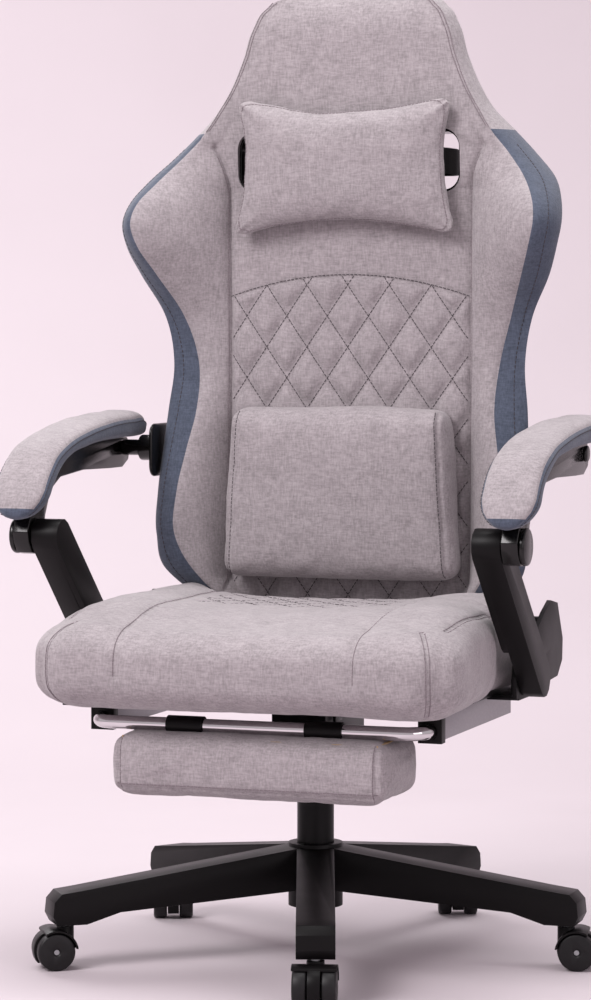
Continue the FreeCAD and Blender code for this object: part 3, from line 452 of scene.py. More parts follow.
# Drops points on to a surface along a direction; points that miss are left out.
def drop(tree, points, direction, lift=0.0004, reach=0.2):
    ray = Vector(direction).normalized()
    found = []
    for point in points:
        hit, _, _, _ = tree.ray_cast(Vector(point) - ray * reach, ray, reach * 2)
        if hit:
            found.append(hit - ray * lift)
    return found


# Presses a sewn line into a soft mesh.
def pressSeam(obj, paths, width=0.006, depth=0.003):
    points = [Vector(p) for path in paths for p in path]
    if not points:
        return obj
    tree = KDTree(len(points))
    for i, point in enumerate(points):
        tree.insert(point, i)
    tree.balance()
    normals = [v.normal.copy() for v in obj.data.vertices]
    for vertex, normal in zip(obj.data.vertices, normals):
        _, _, far = tree.find(vertex.co)
        if far < width * 2.5:
            vertex.co -= normal * depth * math.exp(-(far / width * 1.4) ** 2)
    obj.data.update()
    return obj


# padded shapes

# A block with rounded edges, cut into an even grid, from one corner to the other.
def roundedBlock(name, low, high, radius, step):
    low, high = np.array(low, float), np.array(high, float)
    counts = np.maximum(2, np.round((high - low) / step).astype(int))
    verts, faces, index = [], [], {}

    def vertex(i, j, k):
        key = (i, j, k)
        if key not in index:
            index[key] = len(verts)
            p = low + (high - low) * np.array(key) / counts
            core = np.clip(p, low + radius, high - radius)
            away = p - core
            size = np.linalg.norm(away)
            verts.append(tuple(core + away / size * radius if size > 1e-9 else p))
        return index[key]

    def square(*corners):
        faces.append(tuple(vertex(*corner) for corner in corners))

    nx, ny, nz = (int(c) for c in counts)
    for i in range(nx):
        for j in range(ny):
            square((i, j, 0), (i, j + 1, 0), (i + 1, j + 1, 0), (i + 1, j, 0))
            square((i, j, nz), (i + 1, j, nz), (i + 1, j + 1, nz), (i, j + 1, nz))
    for i in range(nx):
        for k in range(nz):
            square((i, 0, k), (i + 1, 0, k), (i + 1, 0, k + 1), (i, 0, k + 1))
            square((i, ny, k), (i, ny, k + 1), (i + 1, ny, k + 1), (i + 1, ny, k))
    for j in range(ny):
        for k in range(nz):
            square((0, j, k), (0, j, k + 1), (0, j + 1, k + 1), (0, j + 1, k))
            square((nx, j, k), (nx, j + 1, k), (nx, j + 1, k + 1), (nx, j, k + 1))
    return newObject(name, verts, faces)


def reshape(obj, move):
    for vertex in obj.data.vertices:
        vertex.co = Vector(move(*vertex.co))
    obj.data.update()
    return obj


# Air pressure fills the cover, and no point may move further than cap.
def inflate(obj, cap, pressure=4.0, voxel=0.006, frames=20, stiffness=8.0):
    modify(obj, "REMESH", mode="VOXEL", voxel_size=voxel)
    applyModifiers(obj)
    start = np.array([v.co[:] for v in obj.data.vertices])
    cloth = obj.modifiers.new("filling", "CLOTH")
    settings = cloth.settings
    settings.use_pressure = True
    settings.uniform_pressure_force = pressure
    settings.effector_weights.gravity = 0
    settings.quality = 5
    settings.tension_stiffness = settings.compression_stiffness = stiffness
    settings.bending_stiffness = 0.6
    cloth.point_cache.frame_start, cloth.point_cache.frame_end = 1, frames
    for count in range(1, frames + 1):
        bpy.context.scene.frame_set(count)
    graph = bpy.context.evaluated_depsgraph_get()
    swollen = obj.evaluated_get(graph).to_mesh()
    end = np.array([v.co[:] for v in swollen.vertices])
    obj.evaluated_get(graph).to_mesh_clear()
    obj.modifiers.clear()
    bpy.context.scene.frame_set(1)
    move = end - start
    size = np.linalg.norm(move, axis=1, keepdims=True)
    move *= np.minimum(1, cap / np.maximum(size, 1e-9))
    for vertex, place in zip(obj.data.vertices, start + move):
        vertex.co = place
    return subdivided(shadeSmooth(obj))


# back: one upholstered shell from the foot to the head

# height, ridge x and y (edge between cover and gusset), outer x and y
backStations = (
    (0.450, 0.150, 0.132, 0.172, 0.170),
    (0.470, 0.178, 0.112, 0.216, 0.140),
    (0.505, 0.207, 0.088, 0.256, 0.108),
    (0.560, 0.236, 0.078, 0.270, 0.097),
    (0.620, 0.236, 0.086, 0.270, 0.103),
    (0.680, 0.226, 0.099, 0.266, 0.114),
    (0.733, 0.217, 0.114, 0.262, 0.124),
    (0.800, 0.220, 0.132, 0.256, 0.131),
    (0.866, 0.239, 0.122, 0.268, 0.127),
    (0.924, 0.265, 0.080, 0.297, 0.108),
    (0.960, 0.281, 0.053, 0.310, 0.094),
    (0.997, 0.289, 0.047, 0.316, 0.097),
    (1.021, 0.284, 0.060, 0.311, 0.113),
    (1.051, 0.266, 0.090, 0.296, 0.141),
    (1.087, 0.236, 0.116, 0.262, 0.164),
    (1.118, 0.208, 0.125, 0.231, 0.171),
    (1.150, 0.187, 0.131, 0.199, 0.172),
    (1.178, 0.171, 0.135, 0.182, 0.171),
    (1.222, 0.153, 0.139, 0.163, 0.171),
    (1.266, 0.139, 0.143, 0.149, 0.173),
    (1.290, 0.124, 0.147, 0.133, 0.176),
    (1.306, 0.096, 0.153, 0.104, 0.179),
    (1.314, 0.050, 0.162, 0.055, 0.182))
backSizes = {"seam": 0.174, "panelFront": 0.142, "rear": 0.231, "rows": 230, "panelColumns": 44,
             "wingColumns": 18, "gussetColumns": 10, "rearColumns": 16, "crown": 0.006}
quilt = {"wide": 0.060, "tall": 0.086, "rise": 0.9077, "puff": 0.0075, "channel": 0.008,
         "archEnd": 0.892, "archRise": 0.030}


def quiltArch(x):
    return quilt["archEnd"] + quilt["archRise"] * (1 - (x / backSizes["seam"]) ** 2)


def quiltLines(x, z):
    a, b = x / quilt["wide"], (z - quilt["rise"]) / quilt["tall"]
    scale = 1 / math.hypot(1 / quilt["wide"], 1 / quilt["tall"])
    return [abs(v - round(v)) * scale for v in (a + b, a - b)]


def quiltPuff(x, z):
    if z > quiltArch(x) or abs(x) > backSizes["seam"]:
        return 0.0
    edge = min(quiltArch(x) - z, backSizes["seam"] - abs(x))
    swell = quilt["puff"] * (1 - math.exp(-(edge / quilt["channel"]) ** 2))
    for line in quiltLines(x, z):
        swell *= 1 - math.exp(-(line / quilt["channel"]) ** 2)
    return swell


def seamPlace(z):
    # the panel seam runs straight up, then turns out to the top of the gusset
    if z < 1.03:
        return backSizes["seam"]
    t = min(1, (z - 1.03) / 0.088)
    return backSizes["seam"] + 0.033 * t * t


def backSection(z):
    ridgeX, ridgeY, outX, outY = along(backStations, z)
    s = backSizes
    low = min(1, max(0, (z - 0.45) / 0.05))
    top = min(1, max(0, (z - 1.24) / 0.074))
    front = s["panelFront"] + 0.012 * (1 - low) ** 2 + 0.026 * top ** 2.5
    rear = s["rear"] - 0.03 * (1 - low) ** 2 - 0.034 * top ** 2.5
    seam = min(seamPlace(z), ridgeX * 0.86)
    headness = min(1, max(0, (z - 1.04) / 0.07))
    half = []
    n = s["panelColumns"]
    for i in range(n + 1):
        x = seam * i / n
        y = front - s["crown"] * (1 - (x / seam) ** 2)
        y = y * (1 - headness) + headness * (front - 0.004 + (ridgeY - front) * 0.35 * (x / seam) ** 2)
        half.append((x, y - quiltPuff(x, z)))
    y0 = half[-1][1]
    n = s["wingColumns"]
    for i in range(1, n + 1):
        t = i / n
        x = seam + (ridgeX - seam) * t
        y = bezier(y0, y0 + (ridgeY - y0) * 0.62 - 0.010 * (1 - headness), ridgeY, t)
        half.append((x, y))
    n = s["gussetColumns"]
    for i in range(1, n + 1):
        t = i / n
        x = bezier(ridgeX, ridgeX + (outX - ridgeX) * 0.9, outX, t)
        y = bezier(ridgeY, ridgeY + (outY - ridgeY) * 0.35, outY, t)
        half.append((x, y))
    n = s["rearColumns"]
    backX = outX - max(min(0.03, outX * 0.3), (rear - outY) * 0.42)
    for i in range(1, n + 1):
        t = i / n
        if t < 0.5:
            q = t / 0.5
            x = bezier(outX, outX * 0.6 + backX * 0.4, backX, q)
            y = bezier(outY, outY * 0.35 + rear * 0.65, rear, q)
        else:
            q = (t - 0.5) / 0.5
            x, y = backX * (1 - q), rear + 0.004 * q
        half.append((x, y))
    return half


def buildBack():
    rows, s = backSizes["rows"], backSizes
    heights = [0.452 + (1.3135 - 0.452) * i / rows for i in range(rows + 1)]
    verts, faces = [], []
    width = None
    for z in heights:
        half = backSection(z)
        loop = [(x, y) for x, y in half] + [(-x, y) for x, y in reversed(half[1:-1])]
        width = len(loop)
        verts += [(x, y, z) for x, y in loop]
    for r in range(rows):
        for c in range(width):
            a, b = r * width + c, r * width + (c + 1) % width
            faces.append((a, b, b + width, a + width))
    for row, z, flip in ((0, 0.449, True), (rows, 1.3165, False)):
        centre = len(verts)
        ringStart = row * width
        mean = np.mean(np.array(verts[ringStart:ringStart + width]), axis=0)
        verts.append((0, mean[1], z))
        for c in range(width):
            a, b = ringStart + c, ringStart + (c + 1) % width
            faces.append((b, a, centre) if flip else (a, b, centre))
    shell = newObject("back_upholstery", verts, faces)
    gussetFrom = s["panelColumns"] + s["wingColumns"]
    gussetTo = gussetFrom + s["gussetColumns"] + s["rearColumns"] // 2
    paint(shell, linenGrey, suedeBlue)
    for face in shell.data.polygons[:rows * width]:
        row, column = divmod(face.index, width)
        side = column if column < width / 2 else width - 1 - column
        if gussetFrom <= side < gussetTo and heights[row] < 1.118:
            face.material_index = 1
    return shell, heights


def backPaths(heights):
    gusset, ridges, seams = [], [], []
    for side in (-1, 1):
        low = [z for z in heights if 0.47 < z < 1.112]
        ridges.append([(side * along(backStations, z)[0], along(backStations, z)[1], z) for z in low])
        seams.append([(side * seamPlace(z), 0, z) for z in heights if 0.47 < z < 1.10])
        inset = []
        for z in low:
            ridgeX, ridgeY, outX, outY = along(backStations, z)
            t = 0.42
            inset.append((side * bezier(ridgeX, ridgeX + (outX - ridgeX) * 0.9, outX, t),
                          bezier(ridgeY, ridgeY + (outY - ridgeY) * 0.35, outY, t), z))
        gusset.append(inset)
    return gusset, ridges, seams


def roundedPrism(name, x0, x1, z0, z1, radius, y0, y1):
    corners = ((x1 - radius, z1 - radius, 0), (x0 + radius, z1 - radius, 90),
               (x0 + radius, z0 + radius, 180), (x1 - radius, z0 + radius, 270))
    outline = [(cx + radius * math.cos(math.radians(a0 + 90 * i / 8)),
                cz + radius * math.sin(math.radians(a0 + 90 * i / 8)))
               for cx, cz, a0 in corners for i in range(9)]
    count = len(outline)
    verts = [(x, y0, z) for x, z in outline] + [(x, y1, z) for x, z in outline]
    faces = [(i, (i + 1) % count, (i + 1) % count + count, i + count) for i in range(count)]
    faces += [tuple(range(count - 1, -1, -1)), tuple(range(count, 2 * count))]
    return outward(newObject(name, verts, faces))


def back():
    shell, heights = buildBack()
    gusset, ridges, seams = backPaths(heights)
    surface = surfaceOf(shell)
    seams = [drop(surface, path, (0, 1, 0), 0) for path in seams]
    arch = [drop(surface, [(x, 0, quiltArch(x)) for x in np.linspace(-0.172, 0.172, 60)], (0, 1, 0), 0)]
    pressSeam(shell, seams, 0.005, 0.004)
    pressSeam(shell, arch, 0.004, 0.003)
    pressSeam(shell, ridges, 0.004, 0.0018)
    low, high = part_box("harness_bezels")
    for side in (-1, 1):
        inner = 0.022
        x0, x1 = sorted((side * inner, side * high.x))
        tool = roundedPrism("cutter", x0, x1, low.z, high.z, 0.026, 0.05, 0.30)
        modify(shell, "BOOLEAN", operation="DIFFERENCE", object=tool, solver="EXACT")
        applyModifiers(shell)
        bpy.data.objects.remove(tool)
    shadeSmooth(shell, 50)
    settle(shell, "back", "linen_grey", "back_cushion", "wing_left", "wing_right", fill=0.9)

    surface = surfaceOf(shell)
    dark = []
    for sign in (1, -1):
        for k in range(-9, 10):
            line = []
            for i in range(240):
                z = 0.452 + i * 0.002
                x = sign * ((z - quilt["rise"]) / quilt["tall"] + k) * quilt["wide"]
                if abs(x) < 0.171 and z < quiltArch(x) - 0.002:
                    line.append((x, 0, z))
            if len(line) > 4:
                dark.append(drop(surface, line, (0, 1, 0)))
    dark += arch
    sewn("back_quilt_stitches", dark, darkStitches, threadDark, "back")
    seamRun = [drop(surface, [(p[0] + side * 0.0035, 0, p[2]) for p in path[4:-4]], (0, 1, 0))
               for path, side in zip(seams, (-1, 1))]
    sewn("back_seam_stitches", seamRun, greyStitches, threadGrey, "back", Pitch=0.0045)
    outer = []
    for path in gusset:
        run = []
        for x, y, z in path[6:-4]:
            spot, normal, _, _ = surface.find_nearest(Vector((x, y, z)))
            run.append(spot + normal * 0.0003)
        outer.append(run)
    sewn("back_gusset_stitches", outer, darkStitches, threadDark, "back", Pitch=0.0065)
    head = []
    for side in (-1, 1):
        for apart in (-0.0035, 0.0035):
            run = []
            for z in np.linspace(1.125, 1.30, 60):
                ridgeX, ridgeY, _, _ = along(backStations, z)
                aim = Vector((side * (ridgeX + apart), ridgeY - 0.004, z))
                spot, normal, _, _ = surface.find_nearest(aim)
                run.append(spot + normal * 0.0003)
            head.append(run)
    sewn("head_seam_stitches", head, greyStitches, threadGrey, "back", Pitch=0.0045)


back()
print("back upholstered")

# loose folds and hand-made unevenness

def crumple(obj, depth, scale, shift=0.0):
    normals = [v.normal.copy() for v in obj.data.vertices]
    for vertex, normal in zip(obj.data.vertices, normals):
        spot = vertex.co * scale + Vector((shift, shift * 0.7, -shift))
        vertex.co += normal * (noise.noise(spot) * depth)
    obj.data.update()
    return obj


def nearest(surface, points, lift=0.0003):
    run = []
    for point in points:
        spot, normal, _, _ = surface.find_nearest(Vector(point))
        if spot:
            run.append(spot + normal * lift)
    return run


def smoothStep(t):
    t = min(1.0, max(0.0, t))
    return t * t * (3 - 2 * t)


# seat cushion

seatShape = {"half": 0.2805, "rearHalf": 0.268, "front": -0.325, "rear": 0.136, "low": 0.3605, "top": 0.478,
             "radius": 0.036, "step": 0.012, "corner": 0.062, "panel": 0.158, "bolster": 0.258,
             "flare": 0.045, "ridge": 0.010, "ridgePlace": 0.205, "ridgeWidth": 0.050, "dip": 0.004,
             "dipWidth": 0.11, "roll": 0.020, "hollow": 0.012}


def seatMove(x, y, z):
    s = seatShape
    side = 1 if x >= 0 else -1
    a, b = abs(x) - (s["half"] - s["corner"]), -y - (-s["front"] - s["corner"])
    if a > 0 and b > 0:
        keep = max(a, b) / math.hypot(a, b)
        a, b = a * keep, b * keep
        x, y = side * (s["half"] - s["corner"] + a), -(-s["front"] - s["corner"] + b)
    narrow = smoothStep((y + 0.09) / 0.06)
    x *= 1 - narrow * (s["half"] - s["rearHalf"]) / s["half"]
    x *= 1 + s["flare"] * smoothStep((-y - 0.11) / 0.09)
    up = (z - s["low"]) / (s["top"] - s["low"])
    forward = smoothStep((-y - 0.10) / 0.20)
    # bolsters stand a little above the middle, and the front edge rolls down
    ridge = s["ridge"] * math.exp(-((abs(x) - s["ridgePlace"]) / s["ridgeWidth"]) ** 2)
    lift = ridge - s["dip"] * math.exp(-(x / s["dipWidth"]) ** 2)
    roll = s["roll"] * forward ** 2
    # the seat is hollowed where the lumbar pillow comes down on it
    hollow = s["hollow"] * smoothStep((y - 0.045) / 0.03) * smoothStep((0.220 - abs(x)) / 0.045)
    z += up * (lift * (1 - 0.5 * forward) - roll - hollow) + up * 0.003
    middle = 4 * up * (1 - up)
    if up < 0.5:
        x *= 1 - 0.012 * (1 - up / 0.5) ** 2 * smoothStep((-y) / 0.25)
    y -= forward * 0.010 * middle
    y += forward * 0.006 * max(0.0, 1 - up / 0.35) ** 2
    return x, y, z


def wrapFront(surface, x, rear, shift=0.0):
    path = [(x + shift, y, 0.6) for y in np.linspace(rear, -0.26, 46)]
    run = drop(surface, path, (0, 0, -1))
    centre = Vector((x + shift, -0.255, 0.425))
    for angle in np.linspace(86, -14, 34):
        a = math.radians(angle)
        ray = Vector((0, math.cos(a), -math.sin(a)))
        hit, _, _, _ = surface.ray_cast(centre - ray * 0.2, ray, 0.3)
        if hit:
            run.append(hit - ray * 0.0004)
    return run


def bolsterSeam(surface, side, shift=0.0):
    s, run = seatShape, []
    for y in np.linspace(0.125, -0.245, 44):
        ray = Vector((-side * 0.62, 0, -1)).normalized()
        aim = Vector((side * (s["bolster"] + shift), y, s["top"] - 0.010))
        hit, _, _, _ = surface.ray_cast(aim - ray * 0.1, ray, 0.3)
        if hit:
            run.append(hit - ray * 0.0004)
    for t in np.linspace(0, 1, 30):
        across = side * (bezier(0.232, 0.222, 0.238, t) + shift)
        aim = Vector((across, -0.268 - 0.012 * t, 0.462 - 0.096 * t))
        ray = Vector((-side * 0.62, 1, -0.9 * (1 - t) ** 2)).normalized()
        hit, _, _, _ = surface.ray_cast(aim - ray * 0.15, ray, 0.3)
        if hit:
            run.append(hit - ray * 0.0004)
    return run


def seat():
    s = seatShape
    cushion = roundedBlock("seat_upholstery", (-s["half"], s["front"], s["low"]),
                           (s["half"], s["rear"], s["top"]), s["radius"], s["step"])
    reshape(cushion, seatMove)
    inflate(cushion, 0.003, voxel=0.0065)
    surface = surfaceOf(cushion)
    panels = [wrapFront(surface, side * s["panel"], 0.125) for side in (-1, 1)]
    bolsters = [bolsterSeam(surface, side) for side in (-1, 1)]
    pressSeam(cushion, panels, 0.007, 0.0035)
    pressSeam(cushion, bolsters, 0.006, 0.003)
    quilted = []
    for sign in (1, -1):
        for k in range(-8, 9):
            line = [(sign * (y * 1.05 + k * 0.047), y, 0.6) for y in np.linspace(-0.085, 0.12, 52)]
            line = [p for p in line if abs(p[0]) < 0.138]
            if len(line) > 4:
                quilted.append(line)
    quilted = [drop(surface, line, (0, 0, -1)) for line in quilted]
    pressSeam(cushion, quilted, 0.005, 0.0016)
    crumple(cushion, 0.0022, 9)
    crumple(cushion, 0.0007, 42, 3)
    paint(cushion, linenSeat)
    settle(cushion, "seat", "linen_grey", "seat_cushion", fill=0.9)
    surface = surfaceOf(cushion)
    single = [wrapFront(surface, side * s["panel"], 0.125, side * 0.0035) for side in (-1, 1)]
    double = [bolsterSeam(surface, side, shift) for side in (-1, 1) for shift in (-0.0035, 0.0035)]
    sewn("seat_seam_stitches", single + double, greyStitches, threadGrey, "seat", Pitch=0.0046)
    sewn("seat_quilt_stitches", [nearest(surface, line) for line in quilted], darkStitches, threadDark,
         "seat", Pitch=0.0072)


seat()
print("seat upholstered")

# pillows

headPillow = {"half": 0.164, "waist": 0.020, "tall": 0.097, "topSag": 0.022, "lowSag": 0.024,
              "front": 0.033, "rear": 0.022, "y": 0.1175, "z": 1.070, "columns": 76, "rows": 50,
              "corner": 0.16}


def pillowPoint(u, v, face):
    h = headPillow
    # corners are rounded by easing the square's corners in
    a, b = abs(u) - (1 - h["corner"]), abs(v) - (1 - h["corner"] * 1.5)
    if a > 0 and b > 0:
        keep = max(a, b / 1.5) / math.hypot(a, b / 1.5)
        u = math.copysign(1 - h["corner"] + a * keep, u)
        v = math.copysign(1 - h["corner"] * 1.5 + b * keep, v)
    x = u * (h["half"] - h["waist"] * (1 - v * v) - 0.005 * (v > 0) * v)
    z = v * h["tall"] - (h["topSag"] if v > 0 else -h["lowSag"]) * abs(v) ** 1.5 * (1 - u * u)
    fat = max(0.0, (1 - abs(u) ** 3.4) * (1 - abs(v) ** 3.0)) ** 0.55
    depth = (-h["front"] if face else h["rear"]) * fat
    return x, h["y"] + depth, h["z"] + z


def pillowMesh(name):
    h = headPillow
    nu, nv = h["columns"], h["rows"]
    verts, faces, index = [], [], {}

    def vertex(i, j, face):
        rim = i in (0, nu) or j in (0, nv)
        key = (i, j, 0 if rim else face)
        if key not in index:
            index[key] = len(verts)
            u = math.sin(math.pi / 2 * (2 * i / nu - 1) * 0.92) / math.sin(math.pi / 2 * 0.92)
            v = math.sin(math.pi / 2 * (2 * j / nv - 1) * 0.92) / math.sin(math.pi / 2 * 0.92)
            verts.append(pillowPoint(u, v, face))
        return index[key]

    for i in range(nu):
        for j in range(nv):
            square = ((i, j), (i + 1, j), (i + 1, j + 1), (i, j + 1))
            faces.append([vertex(*c, 1) for c in square])
            faces.append([vertex(*c, 0) for c in reversed(square)])
    rim = ([(i, 0) for i in range(nu)] + [(nu, j) for j in range(nv)]
           + [(i, nv) for i in range(nu, 0, -1)] + [(0, j) for j in range(nv, 0, -1)])
    edge = [Vector(verts[index[(i, j, 0)]]) for i, j in rim]
    return outward(newObject(name, verts, faces)), edge


# Folds that fan out from the four corners, where the stuffing thins.
def cornerFolds(obj, centre, corners, reach, depth):
    middle = Vector(centre)
    for vertex in obj.data.vertices:
        push = 0.0
        for k, corner in enumerate(corners):
            arm = vertex.co - Vector(corner)
            away = arm.length
            if away < reach:
                angle = math.atan2(arm.z, arm.x)
                push += math.sin(angle * 11 + k) * (1 - away / reach) * min(1, away / 0.02)
        side = 1 if vertex.co.y < middle.y else -1
        vertex.co.y -= side * depth * push
    obj.data.update()
    return obj


def headCushion():
    h = headPillow
    pillow, edge = pillowMesh("head_pillow_cover")
    corners = [(sx * (h["half"] - 0.006), h["y"], h["z"] + sz * (h["tall"] - 0.004))
               for sx in (-1, 1) for sz in (-1, 1)]
    subdivided(shadeSmooth(pillow))
    cornerFolds(pillow, (0, h["y"], h["z"]), corners, 0.085, 0.0014)
    crumple(pillow, 0.003, 14, 5)
    crumple(pillow, 0.0008, 60, 2)
    paint(pillow, linenGrey)
    settle(pillow, "head_support", "linen_grey", "head_pillow", fill=0.8)
    surface = surfaceOf(pillow)
    middle = Vector((0, h["y"], h["z"]))
    inner = [p + (middle - p).normalized() * 0.006 - Vector((0, 0.006, 0)) for p in edge + edge[:1]]
    sewn("head_pillow_stitches", [nearest(surface, inner)], greyStitches, threadGrey, "head_support",
         Pitch=0.0052)


# The pillow hangs on an elastic band that goes through both harness openings and round the back.
headBand = {"half": 0.0180, "thick": 0.0022, "z": 1.078, "front": 0.128, "rear": 0.2415}


def headStrap():
    b = headBand
    path = [(0.0, b["front"]), (0.090, b["front"]), (0.118, 0.131), (0.131, 0.142), (0.136, 0.165),
            (0.137, 0.200), (0.133, 0.226), (0.122, 0.2385), (0.100, b["rear"]), (0.0, b["rear"] + 0.0008)]
    smooth = []
    for i in range(len(path) - 1):
        smooth += [Vector(path[i]).lerp(Vector(path[i + 1]), k / 4) for k in range(4)]
    loop = smooth + [Vector(path[-1])]
    loop += [Vector((-p.x, p.y)) for p in reversed(loop[1:-1])]
    verts, faces = [], []
    count = len(loop)
    for i, place in enumerate(loop):
        ahead = loop[(i + 1) % count] - loop[i - 1]
        side = Vector((ahead.y, -ahead.x)).normalized() * b["thick"] / 2
        for sign, z in ((1, -b["half"]), (1, b["half"]), (-1, b["half"]), (-1, -b["half"])):
            verts.append((place.x + side.x * sign, place.y + side.y * sign, b["z"] + z))
    for i in range(count):
        j = (i + 1) % count
        faces += [(4 * i + k, 4 * i + (k + 1) % 4, 4 * j + (k + 1) % 4, 4 * j + k) for k in range(4)]
    strap = outward(newObject("head_pillow_band", verts, faces))
    modify(strap, "BEVEL", width=0.0007, segments=2, limit_method="ANGLE")
    applyModifiers(strap)
    paint(shadeSmooth(strap, 40), webbingBlack)
    settle(strap, "head_support", "webbing_black", "head_pillow_strap")


lumbar = {"topHalf": 0.158, "lowHalf": 0.172, "front": 0.080, "rear": 0.141, "low": 0.503, "high": 0.738,
          "radius": 0.020, "crown": 0.014, "step": 0.007}


def lumbarMove(x, y, z):
    m = lumbar
    up = (z - m["low"]) / (m["high"] - m["low"])
    half = m["lowHalf"] + (m["topHalf"] - m["lowHalf"]) * up
    u = x / m["lowHalf"]
    ahead = smoothStep((m["rear"] - y) / (m["rear"] - m["front"]))
    y -= ahead * m["crown"] * (1 - u ** 4) * (1 - (2 * up - 1) ** 4)
    z += (0.006 * (1 - u * u)) * (2 * up - 1)
    bulge = 1 + 0.014 * (1 - (2 * up - 1) ** 2)
    return u * half * bulge, y, z


def lumbarCushion():
    m = lumbar
    pillow = roundedBlock("lumbar_cover", (-m["lowHalf"], m["front"], m["low"]),
                          (m["lowHalf"], m["rear"], m["high"]), m["radius"], m["step"])
    reshape(pillow, lumbarMove)
    inflate(pillow, 0.004, voxel=0.005)
    surface = surfaceOf(pillow)

    def sideSeam(side, inward):
        run = []
        for t in np.linspace(-0.10, 1.10, 80):
            z = m["low"] + (m["high"] - m["low"]) * t
            z = min(max(z, m["low"] + 0.006), m["high"] - 0.006)
            half = m["lowHalf"] + (m["topHalf"] - m["lowHalf"]) * min(1, max(0, t))
            aim = Vector((side * (half - inward), 0.0, z))
            run += drop(surface, [aim], (0, 1, 0))
        return run

    seams = [sideSeam(side, 0.012) for side in (-1, 1)]
    pressSeam(pillow, seams, 0.004, 0.003)
    crumple(pillow, 0.0022, 11, 8)
    crumple(pillow, 0.0006, 55, 1)
    paint(pillow, linenGrey)
    settle(pillow, "lumbar_support", "linen_grey", "lumbar_pillow", fill=0.85)
    surface = surfaceOf(pillow)
    sewn("lumbar_stitches", [sideSeam(side, 0.0165) for side in (-1, 1)], darkStitches, threadDark,
         "lumbar_support", Pitch=0.0056)


headCushion()
headStrap()
lumbarCushion()
print("pillows filled")

# foot pad

footPad = {"half": 0.189, "front": -0.279, "rear": -0.131, "low": 0.2465, "high": 0.3240,
           "radius": 0.018, "step": 0.007}


def footMove(x, y, z):
    f = footPad
    up = (z - f["low"]) / (f["high"] - f["low"])
    middle = 4 * up * (1 - up)
    ahead = smoothStep((-y - 0.20) / 0.08)
    y -= 0.005 * ahead * middle * (1 - (x / f["half"]) ** 4)
    x *= 1 + 0.008 * middle
    return x, y, z


def footCushion():
    f = footPad
    pad = roundedBlock("foot_pad_cover", (-f["half"], f["front"], f["low"]),
                       (f["half"], f["rear"], f["high"]), f["radius"], f["step"])
    reshape(pad, footMove)
    inflate(pad, 0.003, voxel=0.0045)

    def upright(x, shift=0.0):
        return [(x + shift, -0.4, z) for z in np.linspace(f["low"] + 0.004, f["high"] - 0.004, 26)]

    def level(z):
        return [(x, -0.4, z) for x in np.linspace(-f["half"] + 0.012, f["half"] - 0.012, 80)]

    surface = surfaceOf(pad)
    ends = [drop(surface, upright(side * (f["half"] - 0.013)), (0, 1, 0)) for side in (-1, 1)]
    hem = [drop(surface, level(f["low"] + 0.009), (0, 1, 0), 0, 0.3)]
    pressSeam(pad, ends, 0.004, 0.0025)
    pressSeam(pad, hem, 0.004, 0.0018)
    crumple(pad, 0.0018, 13, 4)
    crumple(pad, 0.0006, 60, 6)
    paint(pad, linenGrey)
    settle(pad, "foot_cushion", "linen_grey", "foot_pad", fill=0.9)
    surface = surfaceOf(pad)
    lines = [drop(surface, upright(side * (f["half"] - 0.017)), (0, 1, 0)) for side in (-1, 1)]
    lines += [drop(surface, level(f["low"] + 0.0135), (0, 1, 0), 0.0004, 0.3)]
    sewn("foot_pad_stitches", lines, greyStitches, threadGrey, "foot_cushion", Pitch=0.005)


footCushion()
print("foot pad covered")

# armrest pads

# share of the length, then top y and z, underside y and z
armProfile = (
    (0.00, 0.151, 0.708, 0.142, 0.697),
    (0.06, 0.138, 0.724, 0.128, 0.6945),
    (0.20, 0.090, 0.7275, 0.088, 0.6935),
    (0.38, 0.010, 0.7245, 0.022, 0.6925),
    (0.56, -0.080, 0.7135, -0.066, 0.6865),
    (0.70, -0.146, 0.699, -0.128, 0.677),
    (0.80, -0.190, 0.681, -0.164, 0.663),
    (0.89, -0.222, 0.652, -0.193, 0.641),
    (0.96, -0.244, 0.620, -0.213, 0.614),
    (1.00, -0.253, 0.598, -0.228, 0.5955))
armPad = {"half": 0.0385, "middle": 0.335, "rings": 110, "around": 56, "band": 0.42, "length": 0.46}


def armSection(t):
    topY, topZ, lowY, lowZ = along(armProfile, t)
    fromTip, fromRear = (1 - t) * armPad["length"], t * armPad["length"]
    slim = math.sqrt(max(0.0, 1 - (1 - min(1, fromTip / 0.036)) ** 2))
    slim *= 0.55 + 0.45 * math.sqrt(max(0.0, 1 - (1 - min(1, fromRear / 0.030)) ** 2))
    slim *= 1 - 0.10 * smoothStep((0.45 - t) / 0.45)
    thin = math.sqrt(max(0.0, 1 - (1 - min(1, fromTip / 0.012)) ** 2))
    thin *= 0.35 + 0.65 * math.sqrt(max(0.0, 1 - (1 - min(1, fromRear / 0.016)) ** 2))
    middle = Vector((0, (topY + lowY) / 2, (topZ + lowZ) / 2))
    up = Vector((0, topY - lowY, topZ - lowZ)) / 2
    return middle, up * max(0.04, thin), armPad["half"] * max(0.05, slim)


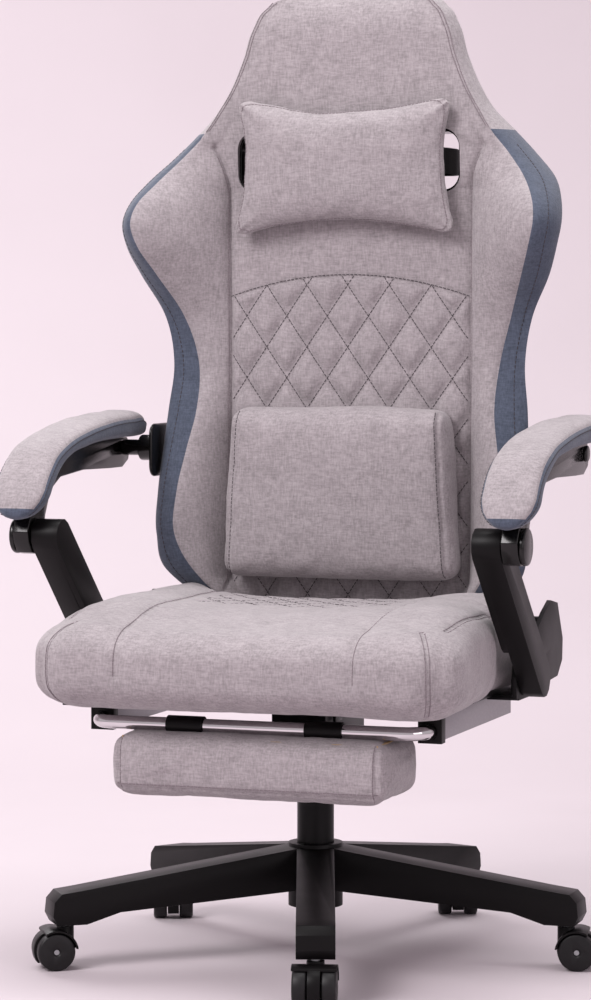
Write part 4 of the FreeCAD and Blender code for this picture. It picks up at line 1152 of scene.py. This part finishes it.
def armCushion(name, side):
    a, verts, faces, kinds = armPad, [], [], []
    ringAngles = [2 * math.pi * k / a["around"] for k in range(a["around"])]
    shares = [0.5 - 0.5 * math.cos(math.pi * i / a["rings"]) for i in range(a["rings"] + 1)]
    shares = [0.5 * s + 0.5 * i / a["rings"] for i, s in enumerate(shares)]
    for t in shares:
        middle, up, half = armSection(t)
        for angle in ringAngles:
            c, s = math.cos(angle), math.sin(angle)
            across = math.copysign(abs(c) ** 0.62, c)
            rise = math.copysign(abs(s) ** (0.80 if s > 0 else 0.55), s)
            spot = middle + up * (rise * (1.16 if s > 0 else 0.98))
            verts.append((side * (a["middle"] + across * half), spot.y, spot.z))
    n = a["around"]
    for i in range(a["rings"]):
        for k in range(n):
            faces.append((i * n + k, i * n + (k + 1) % n, (i + 1) * n + (k + 1) % n, (i + 1) * n + k))
            mid = math.sin((ringAngles[k] + math.pi / n))
            kinds.append(1 if -0.97 < mid < a["band"] or shares[i] < 0.004 or shares[i] > 0.972 else 0)
    for ringIndex in (0, a["rings"]):
        centre = len(verts)
        verts.append(tuple(np.mean(np.array(verts[ringIndex * n:(ringIndex + 1) * n]), axis=0)))
        for k in range(n):
            faces.append((ringIndex * n + k, centre, ringIndex * n + (k + 1) % n))
            kinds.append(1)
    pad = newObject(f"armrest_cover_{name}", verts, faces)
    paint(pad, linenSeat, suedeBlue)
    for face, kind in zip(pad.data.polygons, kinds):
        face.material_index = kind
    outward(pad)
    edges = []
    for flank in (0, 1):
        run = []
        for t in np.linspace(0.02, 0.985, 120):
            middle, up, half = armSection(t)
            s = a["band"]
            c = math.sqrt(1 - s * s) * (1 if flank else -1)
            across = math.copysign(abs(c) ** 0.62, c)
            spot = middle + up * (s ** 0.80 * 1.16)
            run.append(Vector((side * (a["middle"] + across * half), spot.y, spot.z)))
        edges.append(run)
    rim = edges[0] + edges[1][::-1]
    pressSeam(pad, [rim], 0.0030, 0.0016)
    subdivided(shadeSmooth(pad))
    crumple(pad, 0.0009, 24, 2)
    settle(pad, f"armrest_{name}", "linen_grey", f"arm_pad_{name}", fill=0.9)
    surface = surfaceOf(pad)
    lower = [p + Vector((0, 0.0008, -0.0052)) for p in rim]
    sewn(f"armrest_stitches_{name}", [nearest(surface, lower)], darkStitches, threadDark,
         f"armrest_{name}", Pitch=0.0058)


for armName, armSide in (("left", 1), ("right", -1)):
    armCushion(armName, armSide)
print("armrests padded")
